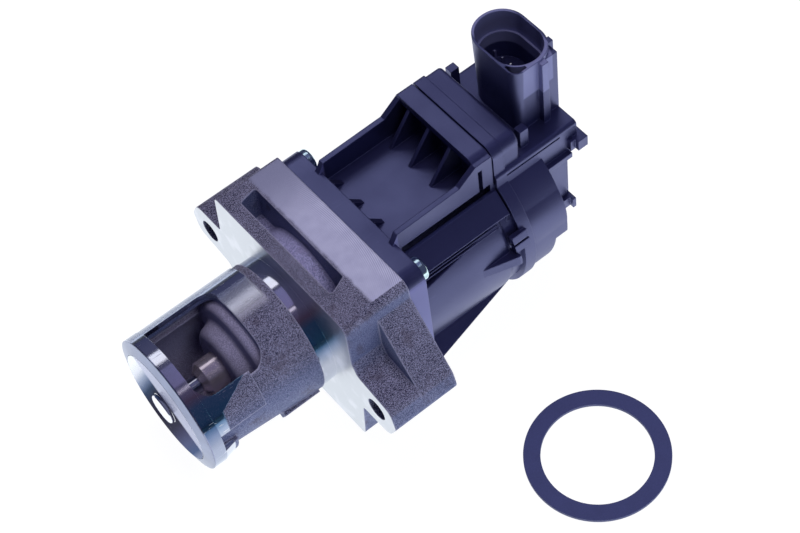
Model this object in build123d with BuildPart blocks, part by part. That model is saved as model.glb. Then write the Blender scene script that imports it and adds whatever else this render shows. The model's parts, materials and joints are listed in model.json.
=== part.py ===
from build123d import *
import math
import os

# Exhaust gas recirculation valve, in millimetres. The origin is the centre of the mounting
# flange's machined face, on the valve axis. X runs from the tube's mouth towards the gear cover
# and Z points the way the connector does. Angles round the valve axis run from +Z towards -Y.

os.makedirs("parts", exist_ok=True)

# Fits
running_gap = 0.05
seated_gap = 0.02
loose_gap = 0.4
thrust_gap = 0.1
blend_overlap = 2.0

# Valve tube
mouth_reach = 49.65
mouth_ring_radius = 25.0
mouth_ring_width = 4.65
mouth_skirt_width = 5.6
mouth_skirt_drop = 1.2
skirt_start_angle = 95.0
skirt_sweep = 160.0
barrel_front_radius = 21.9
barrel_root_radius = 24.4
land_radius = 24.8
land_far_angle = -75.0
land_far_stop = -20.0
land_near_start = 30.0
land_near_angle = 77.0
land_far_end = 8.0
land_near_end = 27.0
neck_radius = 24.0
neck_length = 5.2
tube_bore_radius = 19.6
window_bore_radius = 21.5
window_front = mouth_reach - mouth_ring_width
window_back = 19.5
window_near_half = 17.4
window_far_half = 14.2
window_corner = 5.5
window_sharp_corner = 0.8
window_floor = 6.0
web_radius = 22.6
ridge_back_radius = 20.8
ridge_back_round = 0.6
ridge_reach = 3.2
ridge_crest_radius = 20.1
ridge_round = 2.0
valley_reach = 3.8
valley_radius = 14.8
valley_round = 1.6
boss_front_radius = 12.8
boss_reach = 28.7
boss_round = 3.2
pad_angle = 116.0
pad_sweep = 13.0
pad_front = 21.0
pad_back = 7.0
pad_radius = 25.2

# Mounting flange
flange_half_width = 34.4
flange_half_height = 31.7
casting_depth = 25.3
ear_step = 12.2
ear_reach = 54.6
ear_high = 11.3
ear_low = 7.7
ear_shoulder = 50.4
ear_nose_high = 3.4
ear_nose_in = 52.6
ear_nose_low = 4.6
ear_root = 36.6
waist_height = 12.5
ramp_nose_in = 53.0
ramp_nose_low = 2.4
ramp_root_height = 25.0
upper_corner = 2.0
flange_corner = 4.0
ear_root_round = 1.5
ear_tip_round = 5.0
ear_nose_round = 4.0
waist_round = 3.0
flange_pcd = 90.0
flange_hole_radius = 4.2
flange_hole_turn = 2.8
pocket_front = 5.3
pocket_near = 21.0
pocket_far = 27.0
pocket_slant = 3.0
pocket_depth = 14.0
pocket_corner = 1.0
pocket_saddle_radius = 22.4
pocket_saddle_centre = (3.5, 3.6)

# Valve, guide and seal
seat_outer_radius = 22.4
seat_inner_radius = 18.8
seat_length = 3.6
seat_cone_depth = 1.5
seat_clearance = 0.1
poppet_proud = 1.35
poppet_back_radius = 13.0
poppet_waist_radius = 8.0
poppet_neck_radius = 4.2
poppet_rim_depth = 3.4
poppet_dish_depth = 1.0
poppet_cone_depth = 0.8
poppet_neck_depth = 1.1
poppet_boss_radius = 5.4
poppet_boss_height = 1.4
poppet_boss_round = 0.5
stem_radius = 3.0
stem_end = 30.0
stem_groove_radius = 2.4
stem_groove_width = 0.9
bush_radius = 6.4
bush_front = 35.6
bush_back = 14.0
bush_cone = 2.0
bush_tip_radius = 4.0
stem_bore_radius = 3.5
seal_radius = 7.0
seal_front = 1.0
seal_length = 4.0
retainer_thickness = 1.2
retainer_bore = 3.7

# Return spring
chamber_radius = 16.0
chamber_floor = 5.0
spring_seat_radius = 13.0
spring_seat_bore = 8.0
spring_seat_thickness = 1.0
spring_radius = 10.0
spring_wire_radius = 0.9
spring_turns = 4.0
spring_cup_radius = 12.6
spring_cup_front = 22.4
spring_cup_thickness = 2.0
spring_cup_round = 0.8
collet_radius = 4.6
collet_gap_angle = 10.0

# Actuator body
barrel_drop = 1.5
barrel_radius = 32.0
barrel_end = 69.5
barrel_round = 2.5
plate_thickness = 6.9
plate_half_width = 34.2
plate_half_height = 31.5
plate_corner = 6.0
neck_body_step = 0.7
neck_body_radius = barrel_radius - neck_body_step
seam = 73.0
barrel_wall = 2.6
cavity_radius = barrel_radius - barrel_wall
cavity_front = 34.7
cavity_top = 8.5
box_half_width = 19.5
box_far_half = 20.8
box_wall = 2.0
label_height = 26.5
rail_low_height = 35.4
rail_step_height = 36.0
rail_foot_drop = 2.0
rail_step = 58.8
frame_front = 65.8
frame_height = 42.0
frame_wall = 3.0
frame_corner = 4.5
frame_far_corner = 1.0
root_overlap = 1.0
rib_thickness = 1.3
rib_start = 56.6
rib_places = (14.6, 4.4, -6.3)
gusset_places = (14.6, 4.0, -6.5)
gusset_reach = 4.6
gusset_thickness = 2.0
gusset_drop = 0.5
shelf_start_height = 12.3
shelf_end_height = 17.6
side_wall_top = 24.0
side_wall_inner = 20.5
side_wall_foot = 17.6
side_wall_thickness = 1.3
side_wall_end = 72.4
slot_inner = 16.5
slot_floor = 11.0
slot_roof = 24.8
slot_lip = 27.5
slot_start = 34.2
slot_end = 71.0
seam_groove_width = 0.6
seam_groove_depth = 1.2
seam_groove_foot = 25.5
side_notch_start = 66.6
side_notch_end = 68.2
side_notch_foot = 25.0
side_notch_top = 37.6
fin_angle = 78.3
fin_sweep = 6.0
fin_start = 56.4
fin_end = 68.5
fin_height = 4.2
brace_angle = 122.0
brace_reach = 40.0
brace_end = 68.0
brace_thickness = 2.4
screw_y = 29.0
screw_z = 27.0
screw_radius = 2.0
screw_head_radius = 4.2
screw_head_height = 2.6
screw_length = 16.0
screw_end_gap = 1.0
screw_head_round = 1.2
screw_recess_width = 0.9
screw_recess_depth = 1.3
screw_recess_span = 4.4
seal_groove_radius = 19.0
seal_groove_width = 2.4
seal_groove_depth = 1.4
seam_seal_margin = 0.6
seam_seal_radius = cavity_radius + seam_seal_margin
seam_seal_width = 1.0
seam_seal_depth = 1.0

# Gear train: the motor drives the first gear, whose small gear drives the output gear
pressure_angle = 25.0
tooth_backlash = 0.12
fine_module = 0.6
coarse_module = 0.8
pinion_teeth = 10
first_gear_teeth = 30
second_gear_teeth = 12
output_teeth = 36
tip_share = 1.0
root_share = 1.25
motor_angle = -120.0
motor_margin = 14.5
motor_distance = barrel_radius - motor_margin
output_gear_start = 80.0
output_gear_width = 4.0
hub_radius = 9.0
hub_start = 74.2
hub_end = 87.0
first_gear_start = 75.0
first_gear_width = 3.5
second_gear_end = 84.8
collar_radius = 3.6
gear_foot = 74.6
pinion_start = 74.6
pinion_width = 5.0
axle_radius = 1.5
axle_end = 88.4
washer_start = 72.2
washer_radius = 8.5
magnet_inner_radius = 5.6
magnet_outer_radius = 8.6
magnet_thickness = 2.2

# Drive rod, cross pin and helical slots
valve_stroke = 8.0
output_travel = 100.0
rod_radius = 2.5
rod_end = 88.0
rod_chamfer = 0.5
pin_radius = 1.5
pin_half_length = 7.0
pin_rest = 85.0
pin_chamfer = 0.3
coupler_radius = 4.6
coupler_start = 26.0
coupler_length = 8.0
coupler_bore_radius = 5.2
coupler_bore_end = 36.5
rod_bore_radius = 3.2
sleeve_radius = 5.0
sleeve_start = 58.0
sleeve_end = 91.0
sleeve_slot_spare = 0.5
hub_slot_radius = 7.35
hub_slot_half_angle = 27.0
hub_slot_start = 75.3
core_boss_radius = 8.0

# Motor
motor_radius = 11.5
motor_wall = 1.0
motor_start = 38.5
motor_end = 70.2
end_cap_length = 3.5
end_cap_spigot = 2.0
end_cap_spigot_wall = 1.5
rear_bush_floor = 0.4
brush_post_shift = 1.0
bush_outer_radius = 3.0
bush_length = 4.0
shaft_radius = 1.0
magnet_bore_radius = 8.9
magnet_start = 47.5
magnet_end = 65.0
magnet_arc = 130.0
armature_radius = 8.5
armature_start = 49.5
armature_end = 62.5
armature_poles = 5
pole_neck_width = 2.4
armature_hub_radius = 3.2
pole_tip_depth = 1.4
slot_mouth_width = 2.0
winding_margin = 0.25
winding_overhang = 2.2
commutator_radius = 3.2
commutator_start = 44.3
commutator_end = 46.8
brush_width = 2.4
brush_length_along = 2.0
brush_reach = 9.0
brush_post_length = 2.5
cradle_radius = 13.6
cradle_start = 46.0
lead_thickness = 0.8
lead_width = 2.0
lead_offset = 13.9
lead_heights = (-17.2, -13.2)

# Bearing plate
bearing_plate_thickness = 2.0
plate_screw_margin = 3.6
plate_screw_radius_out = cavity_radius - plate_screw_margin
plate_screw_angles = (-4.0, -68.0, 172.0)
plate_screw_radius = 1.25
plate_screw_head_radius = 2.4
plate_screw_head_height = 1.7
plate_screw_length = 9.0
plate_screw_chamfer = 0.5
plate_boss_radius = 3.6

# Gear cover
cover_rim_reach = 1.3
cover_rim_radius = barrel_radius + cover_rim_reach
cover_rim_end = 77.5
cover_reach = 0.5
cover_radius = barrel_radius + cover_reach
cover_end = 88.3
cap_end = 92.0
cap_foot = -4.5
shoulder_radius = 19.3
shoulder_side = 13.2
shoulder_height = 2.5
cover_edge_round = 2.2
box_inset = 0.5
box_edge_round = 1.5
plateau_edge = 1.5
groove_size = 0.7
groove_height = 27.6
groove_end = 100.0
cap_wall = 2.2
box_end = 84.5
cover_wall = 2.2
plateau_height = 30.0
plateau_near = 20.5
plateau_far = 22.0
block_end = 105.3
block_bottom = -21.0
block_corner = 3.0
block_half_width = 17.0
lid_thickness = 2.0
lid_inset = 1.6
clip_height = 4.6
clip_back = 109.3
lower_clip_back = 106.6
clip_length = 6.0
clip_reach = 1.6
upper_clip_foot = 19.0
lower_clip_foot = -16.5
axle_boss_radius = 3.3
axle_boss_start = 85.4
peg_x = 86.6
peg_y = -16.8
peg_length = 3.4
peg_width = 3.0
peg_height = 38.0
peg_far_y = 17.9
rail_reach = 2.0
rail_start = 84.0
rail_end = 103.5
rail_low = 16.2
rail_high = 18.4
hook_angles = (67.0, 73.0, -71.6, -77.6, 150.0, -155.0)
hook_sweep = 4.6
hook_start = 68.8
hook_end = 75.0
hook_height = 2.8

# Connector, board and sensor
socket_x = 99.0
socket_y = 1.6
socket_base_width = 8.75
socket_base_near = -11.4
socket_base_far = 14.2
socket_round = 8.6
socket_near_corner = 3.0
socket_draft = 1.5
socket_bore_width = 8.75
socket_bore_length = 12.45
socket_height = 59.3
latch_wall = 0.6
latch_depth = 6.0
latch_corner = 2.4
latch_reach = 5.0
socket_floor = 38.0
socket_ledge_depth = 9.0
socket_ledge_width = 0.8
key_height = 57.0
key_near_height = 58.6
key_near_x = 99.3
key_near_reach = 14.0
key_near_length = 2.7
key_near_width = 4.6
key_far_x = 101.8
key_far_reach = 11.6
key_far_length = 5.8
key_far_width = 4.2
lug_x = 105.6
lug_reach = 8.6
lug_length = 3.0
lug_width = 2.2
pin_count = 5
pin_pitch = 4.0
pin_half_width = 0.5
pin_top = 46.6
pin_bottom = 12.0
pin_tip_chamfer = 0.25
board_thickness = 1.6
board_half_width = 14.4
board_corner = 1.5
board_bottom = -18.0
board_top = 24.0
board_posts = ((-12.0, 18.0), (12.0, 18.0), (-12.0, -14.0))
board_post_radius = 2.0
chip_size = 5.0
chip_thickness = 1.5
chip_chamfer = 0.3

# Loose flange gasket
gasket_outer_radius = 24.35
gasket_inner_radius = 18.65
gasket_thickness = 1.2
gasket_x = 52.8
gasket_y = -90.3


def meridian(angle, drop=0.0):
    """Plane through an axis along X, turned by angle from +Z towards -Y; its y is the radius."""
    turn = math.radians(angle)
    return Plane(origin=(0, 0, -drop), x_dir=(1, 0, 0), z_dir=(0, -math.cos(turn), -math.sin(turn)))


def upright(y):
    """Plane across Y at y, with X along and Z up; an extrusion from it runs towards -Y."""
    return Plane.XZ.offset(-y)


def box_outline(inset):
    """Outline of the box across the valve, as a sketch to add."""
    with BuildSketch() as outline:
        with BuildLine():
            FilletPolyline(
                (-box_half_width + inset, 0),
                (-box_half_width + inset, frame_height - inset),
                (box_far_half - inset, frame_height - inset),
                (box_far_half - inset, 0),
                radius=[0, frame_corner, frame_far_corner, 0],
                close=True,
            )
        make_face()
    return outline.sketch


def polar(radius, angle):
    """Point in the YZ plane at an angle from +Y towards +Z."""
    turn = math.radians(angle)
    return (radius * math.cos(turn), radius * math.sin(turn))


def ring(start, end, outer, inner, centre=(0.0, 0.0)):
    """Sleeve along X from start to end round a centre in the YZ plane."""
    with BuildPart() as sleeve:
        with BuildSketch(Plane.YZ.offset(start)):
            with Locations(centre):
                Circle(outer)
                Circle(inner, mode=Mode.SUBTRACT)
        extrude(amount=end - start)
    return sleeve.part


def save(piece, label):
    """Names a finished piece and writes it as its own file."""
    piece.label = label
    export_step(piece, f"parts/{label}.step")


def tooth(teeth, module_size):
    """One involute tooth centred on the local x axis, its root sunk into the gear's body."""
    pitch_radius = teeth * module_size / 2
    base_radius = pitch_radius * math.cos(math.radians(pressure_angle))
    tip_radius = pitch_radius + tip_share * module_size
    root_radius = pitch_radius - root_share * module_size
    flank_start = max(base_radius, root_radius)
    involute = math.tan(math.radians(pressure_angle)) - math.radians(pressure_angle)
    half_pitch_angle = math.pi / (2 * teeth) - tooth_backlash / (2 * pitch_radius)
    flank = []
    flank_steps = 5
    for step in range(flank_steps + 1):
        radius = flank_start + (tip_radius - flank_start) * step / flank_steps
        pressure = math.acos(min(1.0, base_radius / radius))
        angle = half_pitch_angle + involute - (math.tan(pressure) - pressure)
        flank.append((radius * math.cos(angle), radius * math.sin(angle)))
    start_angle = math.atan2(flank[0][1], flank[0][0])
    sunk_radius = root_radius - module_size / 2
    foot = (sunk_radius * math.cos(start_angle), sunk_radius * math.sin(start_angle))
    with BuildSketch() as outline:
        with BuildLine():
            Line(foot, flank[0])
            Spline(*flank)
            ThreePointArc(flank[-1], (tip_radius, 0), (flank[-1][0], -flank[-1][1]))
            Spline(*[(x, -y) for x, y in reversed(flank)])
            Polyline((flank[0][0], -flank[0][1]), (foot[0], -foot[1]), foot)
        make_face()
    return outline.sketch


def gear_blank(teeth, module_size, centre, phase, start, width):
    """Toothed disc along X from start, one tooth pointing at the phase angle."""
    root_radius = teeth * module_size / 2 - root_share * module_size
    shape = tooth(teeth, module_size)
    with BuildPart() as blank:
        with BuildSketch(Plane.YZ.offset(start)):
            with Locations(centre):
                Circle(root_radius)
                with PolarLocations(0, teeth, start_angle=phase):
                    add(shape)
        extrude(amount=width)
    return blank.part


# Gear centres and mesh phases: where two gears meet, a tooth of one faces a gap of the other
motor_centre = polar(motor_distance, motor_angle)
first_centre_distance = fine_module * (pinion_teeth + first_gear_teeth) / 2
output_centre_distance = coarse_module * (second_gear_teeth + output_teeth) / 2
spread = math.degrees(
    math.acos(
        (motor_distance**2 + output_centre_distance**2 - first_centre_distance**2)
        / (2 * motor_distance * output_centre_distance)
    )
)
gear_angle = motor_angle - spread
gear_centre = polar(output_centre_distance, gear_angle)
line_to_motor = math.degrees(math.atan2(motor_centre[1] - gear_centre[1], motor_centre[0] - gear_centre[0]))
second_gear_phase = gear_angle + 180 + (180 + output_teeth * gear_angle) / second_gear_teeth
pinion_phase = line_to_motor + 180 + (180 + first_gear_teeth * line_to_motor) / pinion_teeth


# Window cut through the tube's upper wall
with BuildPart() as window_tool:
    with BuildSketch(Plane.XY.offset(window_floor)):
        with BuildLine():
            FilletPolyline(
                (-window_front, window_far_half),
                (-window_back, window_far_half),
                (-window_back, -window_near_half),
                (-window_front, -window_near_half),
                radius=[window_sharp_corner, window_corner, window_corner, window_corner],
                close=True,
            )
        make_face()
    extrude(amount=mouth_ring_radius)

# Pocket in the casting's top, whose floor is a saddle over the neck
with BuildPart() as pocket_tool:
    with BuildSketch(Plane.XY.offset(flange_half_height)):
        with BuildLine():
            FilletPolyline(
                (pocket_front, pocket_far),
                (ear_step, pocket_far + pocket_slant / 2),
                (ear_step, -pocket_near + pocket_slant),
                (pocket_front, -pocket_near),
                radius=pocket_corner,
                close=True,
            )
        make_face()
    extrude(amount=-pocket_depth)
    with BuildSketch(Plane.YZ):
        with Locations(pocket_saddle_centre):
            Circle(pocket_saddle_radius)
    extrude(amount=casting_depth, mode=Mode.SUBTRACT)

# Valve casting: tube, mounting flange with two ears, spring chamber
with BuildPart() as valve_casting:
    with BuildSketch(Plane.XY):
        with BuildLine():
            Polyline(
                (-mouth_reach, tube_bore_radius),
                (-mouth_reach, mouth_ring_radius),
                (-mouth_reach + mouth_ring_width, mouth_ring_radius),
                (-mouth_reach + mouth_ring_width, barrel_front_radius),
                (-neck_length, barrel_root_radius),
                (-neck_length, neck_radius),
                (blend_overlap, neck_radius),
                (blend_overlap, tube_bore_radius),
                close=True,
            )
        make_face()
    revolve(axis=Axis.X)
    for start_angle, end_angle, land_end in (
        (land_far_angle, land_far_stop, land_far_end),
        (land_near_start, land_near_angle, land_near_end),
    ):
        with BuildSketch(meridian(start_angle)):
            with BuildLine():
                Polyline(
                    (-mouth_reach + mouth_ring_width, tube_bore_radius),
                    (-mouth_reach + mouth_ring_width, land_radius),
                    (-land_end, land_radius),
                    (-land_end, tube_bore_radius),
                    close=True,
                )
            make_face()
        revolve(axis=Axis.X, revolution_arc=end_angle - start_angle)
    with BuildSketch(meridian(skirt_start_angle)):
        with BuildLine():
            Polyline(
                (-mouth_reach + mouth_ring_width, tube_bore_radius),
                (-mouth_reach + mouth_ring_width, mouth_ring_radius),
                (-mouth_reach + mouth_ring_width + mouth_skirt_width, mouth_ring_radius - mouth_skirt_drop),
                (-mouth_reach + mouth_ring_width + mouth_skirt_width, tube_bore_radius),
                close=True,
            )
        make_face()
    revolve(axis=Axis.X, revolution_arc=skirt_sweep)
    with BuildSketch(meridian(land_far_angle)):
        with BuildLine():
            Polyline(
                (-mouth_reach + mouth_ring_width, 0),
                (-mouth_reach + mouth_ring_width, window_bore_radius),
                (-window_back, window_bore_radius),
                (-window_back, 0),
                close=True,
            )
        make_face()
    revolve(axis=Axis.X, revolution_arc=land_near_angle - land_far_angle, mode=Mode.SUBTRACT)
    add(window_tool.part, mode=Mode.SUBTRACT)
    with BuildSketch(Plane.XY):
        with BuildLine():
            FilletPolyline(
                (0, 0),
                (0, web_radius),
                (-window_back, web_radius),
                (-window_back, ridge_back_radius),
                (-window_back - ridge_reach, ridge_crest_radius),
                (-window_back - valley_reach, valley_radius),
                (-boss_reach, boss_front_radius),
                (-boss_reach, 0),
                radius=[0, 0, 0, ridge_back_round, ridge_round, valley_round, boss_round, 0],
                close=True,
            )
        make_face()
    revolve(axis=Axis.X)
    with BuildSketch(meridian(pad_angle)):
        with BuildLine():
            Polyline(
                (-pad_front, tube_bore_radius),
                (-pad_front, pad_radius),
                (-pad_back, pad_radius),
                (-pad_back, tube_bore_radius),
                close=True,
            )
        make_face()
    revolve(axis=Axis.X, revolution_arc=pad_sweep)
    with BuildSketch(Plane.YZ):
        with BuildLine():
            half_outline = [
                (flange_half_width, flange_half_height),
                (ear_root, ear_high),
                (ear_shoulder, ear_high),
                (ear_reach, ear_nose_high),
                (ear_nose_in, -ear_nose_low),
                (ear_root, -ear_low),
                (flange_half_width, -waist_height),
                (flange_half_width, -flange_half_height),
            ]
            half_radii = [upper_corner, ear_root_round, ear_tip_round, ear_nose_round]
            half_radii += [ear_nose_round, waist_round, waist_round, flange_corner]
            FilletPolyline(
                *half_outline,
                *[(-y, -z) for y, z in half_outline],
                radius=half_radii + half_radii,
                close=True,
            )
        make_face()
    extrude(amount=ear_step)
    with BuildSketch(Plane.YZ.offset(ear_step)):
        with BuildLine():
            rear_outline = [
                (flange_half_width, flange_half_height),
                (ear_root, ear_high),
                (ear_shoulder, ear_high),
                (ear_reach, ear_nose_high),
                (ramp_nose_in, -ramp_nose_low),
                (flange_half_width, -ramp_root_height),
                (flange_half_width, -flange_half_height),
            ]
            rear_radii = [upper_corner, ear_root_round, ear_tip_round, ear_nose_round]
            rear_radii += [ear_nose_round, waist_round, flange_corner]
            FilletPolyline(
                *rear_outline,
                *[(-y, -z) for y, z in rear_outline],
                radius=rear_radii + rear_radii,
                close=True,
            )
        make_face()
    extrude(amount=casting_depth - ear_step)
    add(pocket_tool.part, mode=Mode.SUBTRACT)
    with Locations(Plane.YZ):
        with Locations(
            polar(flange_pcd / 2, flange_hole_turn),
            polar(flange_pcd / 2, flange_hole_turn + 180),
        ):
            Cylinder(flange_hole_radius, 4 * casting_depth, mode=Mode.SUBTRACT)
    with BuildSketch(Plane.YZ.offset(chamber_floor)):
        Circle(chamber_radius)
    extrude(amount=casting_depth, mode=Mode.SUBTRACT)
    with BuildSketch(Plane.YZ.offset(-mouth_reach)):
        Circle(seat_outer_radius)
    extrude(amount=seat_length, mode=Mode.SUBTRACT)
    with BuildSketch(Plane.YZ.offset(-boss_reach)):
        Circle(bush_radius)
    extrude(amount=boss_reach - bush_back, mode=Mode.SUBTRACT)
    with BuildSketch(Plane.YZ.offset(-bush_back)):
        Circle(stem_bore_radius)
    extrude(amount=bush_back + chamber_floor, mode=Mode.SUBTRACT)
    with BuildSketch(Plane.YZ.offset(-seal_front)):
        Circle(seal_radius)
    extrude(amount=seal_front + chamber_floor, mode=Mode.SUBTRACT)
    with BuildSketch(Plane.YZ.offset(casting_depth - seal_groove_depth)):
        Circle(seal_groove_radius + seal_groove_width)
        Circle(seal_groove_radius, mode=Mode.SUBTRACT)
    extrude(amount=seal_groove_depth, mode=Mode.SUBTRACT)
    with BuildSketch(Plane.YZ.offset(casting_depth)):
        with GridLocations(2 * screw_y, 2 * screw_z, 2, 2):
            Circle(screw_radius)
    extrude(amount=-(screw_length - plate_thickness + screw_end_gap), mode=Mode.SUBTRACT)
save(valve_casting.part, "valve_casting")

# Seat ring pressed into the mouth, with a conical seat
with BuildPart() as seat_ring:
    with BuildSketch(Plane.XY):
        with BuildLine():
            Polyline(
                (-mouth_reach, seat_inner_radius + seat_cone_depth),
                (-mouth_reach, seat_outer_radius),
                (-mouth_reach + seat_length, seat_outer_radius),
                (-mouth_reach + seat_length, seat_inner_radius),
                (-mouth_reach + seat_cone_depth, seat_inner_radius),
                close=True,
            )
        make_face()
    revolve(axis=Axis.X)
save(seat_ring.part, "seat_ring")

# Guide bush in the central boss, coned towards the valve head
with BuildPart() as guide_bush:
    with BuildSketch(Plane.XY):
        with BuildLine():
            Polyline(
                (-bush_back, stem_radius + running_gap),
                (-bush_back, bush_radius),
                (-bush_front, bush_radius),
                (-bush_front - bush_cone, bush_tip_radius),
                (-bush_front - bush_cone, stem_radius + running_gap),
                close=True,
            )
        make_face()
    revolve(axis=Axis.X)
save(guide_bush.part, "guide_bush")

save(
    ring(-seal_front, seal_length - seal_front, seal_radius, stem_radius + seated_gap),
    "stem_seal",
)
save(
    ring(seal_length - seal_front, seal_length - seal_front + retainer_thickness, seal_radius, retainer_bore),
    "seal_retainer",
)
save(
    ring(chamber_floor, chamber_floor + spring_seat_thickness, spring_seat_radius, spring_seat_bore),
    "spring_seat",
)

# Return spring between its seat and the cup on the stem
spring_low = chamber_floor + spring_seat_thickness + spring_wire_radius + seated_gap
spring_high = spring_cup_front - spring_wire_radius - seated_gap
with BuildPart() as return_spring:
    with BuildLine() as coil:
        Helix(
            pitch=(spring_high - spring_low) / spring_turns,
            height=spring_high - spring_low,
            radius=spring_radius,
            center=(spring_low, 0, 0),
            direction=(1, 0, 0),
        )
    with BuildSketch(Plane(origin=coil.line @ 0, z_dir=coil.line % 0)):
        Circle(spring_wire_radius)
    sweep(path=coil.line, is_frenet=True)
save(return_spring.part, "return_spring")

# Valve head: a disc with a conical edge, a dished back and a round end boss
head_front = -mouth_reach - poppet_proud
rim_back = head_front + poppet_rim_depth
head_cone = seat_inner_radius + seat_cone_depth - seat_clearance
dish_back = rim_back + poppet_dish_depth
cone_back = dish_back + poppet_cone_depth
head_back = cone_back + poppet_neck_depth
with BuildPart() as poppet_head:
    with BuildSketch(Plane.XY):
        with BuildLine():
            Polyline(
                (head_front - poppet_boss_height, 0),
                (head_front - poppet_boss_height, poppet_boss_radius),
                (head_front, poppet_boss_radius),
                (head_front, head_cone),
                (-mouth_reach, head_cone),
                (rim_back, head_cone - (rim_back + mouth_reach)),
                (dish_back, poppet_back_radius),
                (cone_back, poppet_waist_radius),
                (head_back, poppet_neck_radius),
                (head_back + poppet_neck_depth, stem_radius),
                (head_front, stem_radius),
                (head_front, 0),
                close=True,
            )
        make_face()
    revolve(axis=Axis.X)
    fillet(poppet_head.edges().filter_by(GeomType.CIRCLE).group_by(Axis.X)[0], poppet_boss_round)
save(poppet_head.part, "poppet_head")

# Valve stem with the groove that its collets grip
groove_middle = spring_cup_front + spring_cup_thickness / 2
with BuildPart() as valve_stem:
    with BuildSketch(Plane.YZ.offset(head_front)):
        Circle(stem_radius)
    extrude(amount=stem_end - head_front)
    with BuildSketch(Plane.YZ.offset(groove_middle - stem_groove_width / 2)):
        Circle(2 * stem_radius)
        Circle(stem_groove_radius, mode=Mode.SUBTRACT)
    extrude(amount=stem_groove_width, mode=Mode.SUBTRACT)
save(valve_stem.part, "valve_stem")

# Spring cup and its two half collets
with BuildPart() as spring_cup:
    with BuildSketch(Plane.YZ.offset(spring_cup_front)):
        Circle(spring_cup_radius)
        Circle(collet_radius, mode=Mode.SUBTRACT)
    extrude(amount=spring_cup_thickness)
    with BuildSketch(Plane.YZ.offset(spring_cup_front - spring_cup_thickness)):
        Circle(spring_radius - spring_wire_radius - loose_gap)
        Circle(collet_radius, mode=Mode.SUBTRACT)
    extrude(amount=spring_cup_thickness)
    fillet(spring_cup.edges().filter_by(GeomType.CIRCLE).group_by(Axis.X)[-1].sort_by(SortBy.RADIUS)[-1], spring_cup_round)
save(spring_cup.part, "spring_cup")

with BuildPart() as stem_collets:
    with BuildSketch(Plane.XY):
        with BuildLine():
            Polyline(
                (spring_cup_front, stem_radius),
                (spring_cup_front, collet_radius),
                (spring_cup_front + spring_cup_thickness, collet_radius),
                (spring_cup_front + spring_cup_thickness, stem_radius),
                (groove_middle + stem_groove_width / 2, stem_radius),
                (groove_middle + stem_groove_width / 2, stem_groove_radius),
                (groove_middle - stem_groove_width / 2, stem_groove_radius),
                (groove_middle - stem_groove_width / 2, stem_radius),
                close=True,
            )
        make_face()
    revolve(axis=Axis.X)
    with BuildSketch(Plane.YZ.offset(spring_cup_front)):
        Rectangle(4 * collet_radius, collet_radius * math.radians(collet_gap_angle))
    extrude(amount=spring_cup_thickness, mode=Mode.SUBTRACT)
save(stem_collets.part, "stem_collets")

# Coupler, drive rod and cross pin, which carry the cam's pull to the stem
with BuildPart() as rod_coupler:
    with BuildSketch(Plane.YZ.offset(coupler_start)):
        Circle(coupler_radius)
        Circle(stem_radius, mode=Mode.SUBTRACT)
    extrude(amount=stem_end - coupler_start)
    with BuildSketch(Plane.YZ.offset(stem_end)):
        Circle(coupler_radius)
        Circle(rod_radius, mode=Mode.SUBTRACT)
    extrude(amount=coupler_start + coupler_length - stem_end)
save(rod_coupler.part, "rod_coupler")

with BuildPart() as drive_rod:
    with BuildSketch(Plane.YZ.offset(stem_end)):
        Circle(rod_radius)
    extrude(amount=rod_end - stem_end)
    chamfer(drive_rod.edges().group_by(Axis.X)[-1], rod_chamfer)
    with Locations((pin_rest, 0, 0)):
        Cylinder(pin_radius, 4 * rod_radius, mode=Mode.SUBTRACT)
save(drive_rod.part, "drive_rod")

with BuildPart() as cross_pin:
    with Locations((pin_rest, 0, 0)):
        Cylinder(pin_radius, 2 * pin_half_length)
    chamfer(cross_pin.edges().filter_by(GeomType.CIRCLE), pin_chamfer)
save(cross_pin.part, "cross_pin")

# Guide sleeve with straight slots that keep the cross pin from turning
slot_low = pin_rest - valve_stroke - pin_radius - sleeve_slot_spare
slot_high = pin_rest + pin_radius + sleeve_slot_spare
with BuildPart() as guide_sleeve:
    with BuildSketch(Plane.YZ.offset(sleeve_start)):
        Circle(sleeve_radius)
        Circle(rod_radius + running_gap, mode=Mode.SUBTRACT)
    extrude(amount=sleeve_end - sleeve_start)
    with Locations(((slot_low + slot_high) / 2, 0, 0)):
        Box(
            slot_high - slot_low,
            2 * (pin_radius + running_gap),
            4 * sleeve_radius,
            mode=Mode.SUBTRACT,
        )
save(guide_sleeve.part, "guide_sleeve")

# Output gear: its hub's helical slots turn the gear's rotation into the pin's travel
slot_rate = output_travel / valve_stroke
slot_turn = (hub_end + blend_overlap - hub_slot_start) * slot_rate
slot_first_angle = 90 + (hub_slot_start - pin_rest) * slot_rate
slot_tools = []
for side_angle in (0.0, 180.0):
    middle = slot_first_angle + side_angle
    low = middle - hub_slot_half_angle
    high = middle + hub_slot_half_angle
    with BuildSketch(Plane.YZ.offset(hub_slot_start)) as slot_section:
        with BuildLine():
            Line(polar(rod_radius, low), polar(hub_slot_radius, low))
            ThreePointArc(
                polar(hub_slot_radius, low),
                polar(hub_slot_radius, middle),
                polar(hub_slot_radius, high),
            )
            Line(polar(hub_slot_radius, high), polar(rod_radius, high))
            ThreePointArc(polar(rod_radius, high), polar(rod_radius, middle), polar(rod_radius, low))
        make_face()
    slot_tools.append(
        Solid.extrude_linear_with_rotation(
            slot_section.sketch.faces()[0],
            center=(hub_slot_start, 0, 0),
            normal=(hub_end + blend_overlap - hub_slot_start, 0, 0),
            angle=slot_turn,
        )
    )

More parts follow.
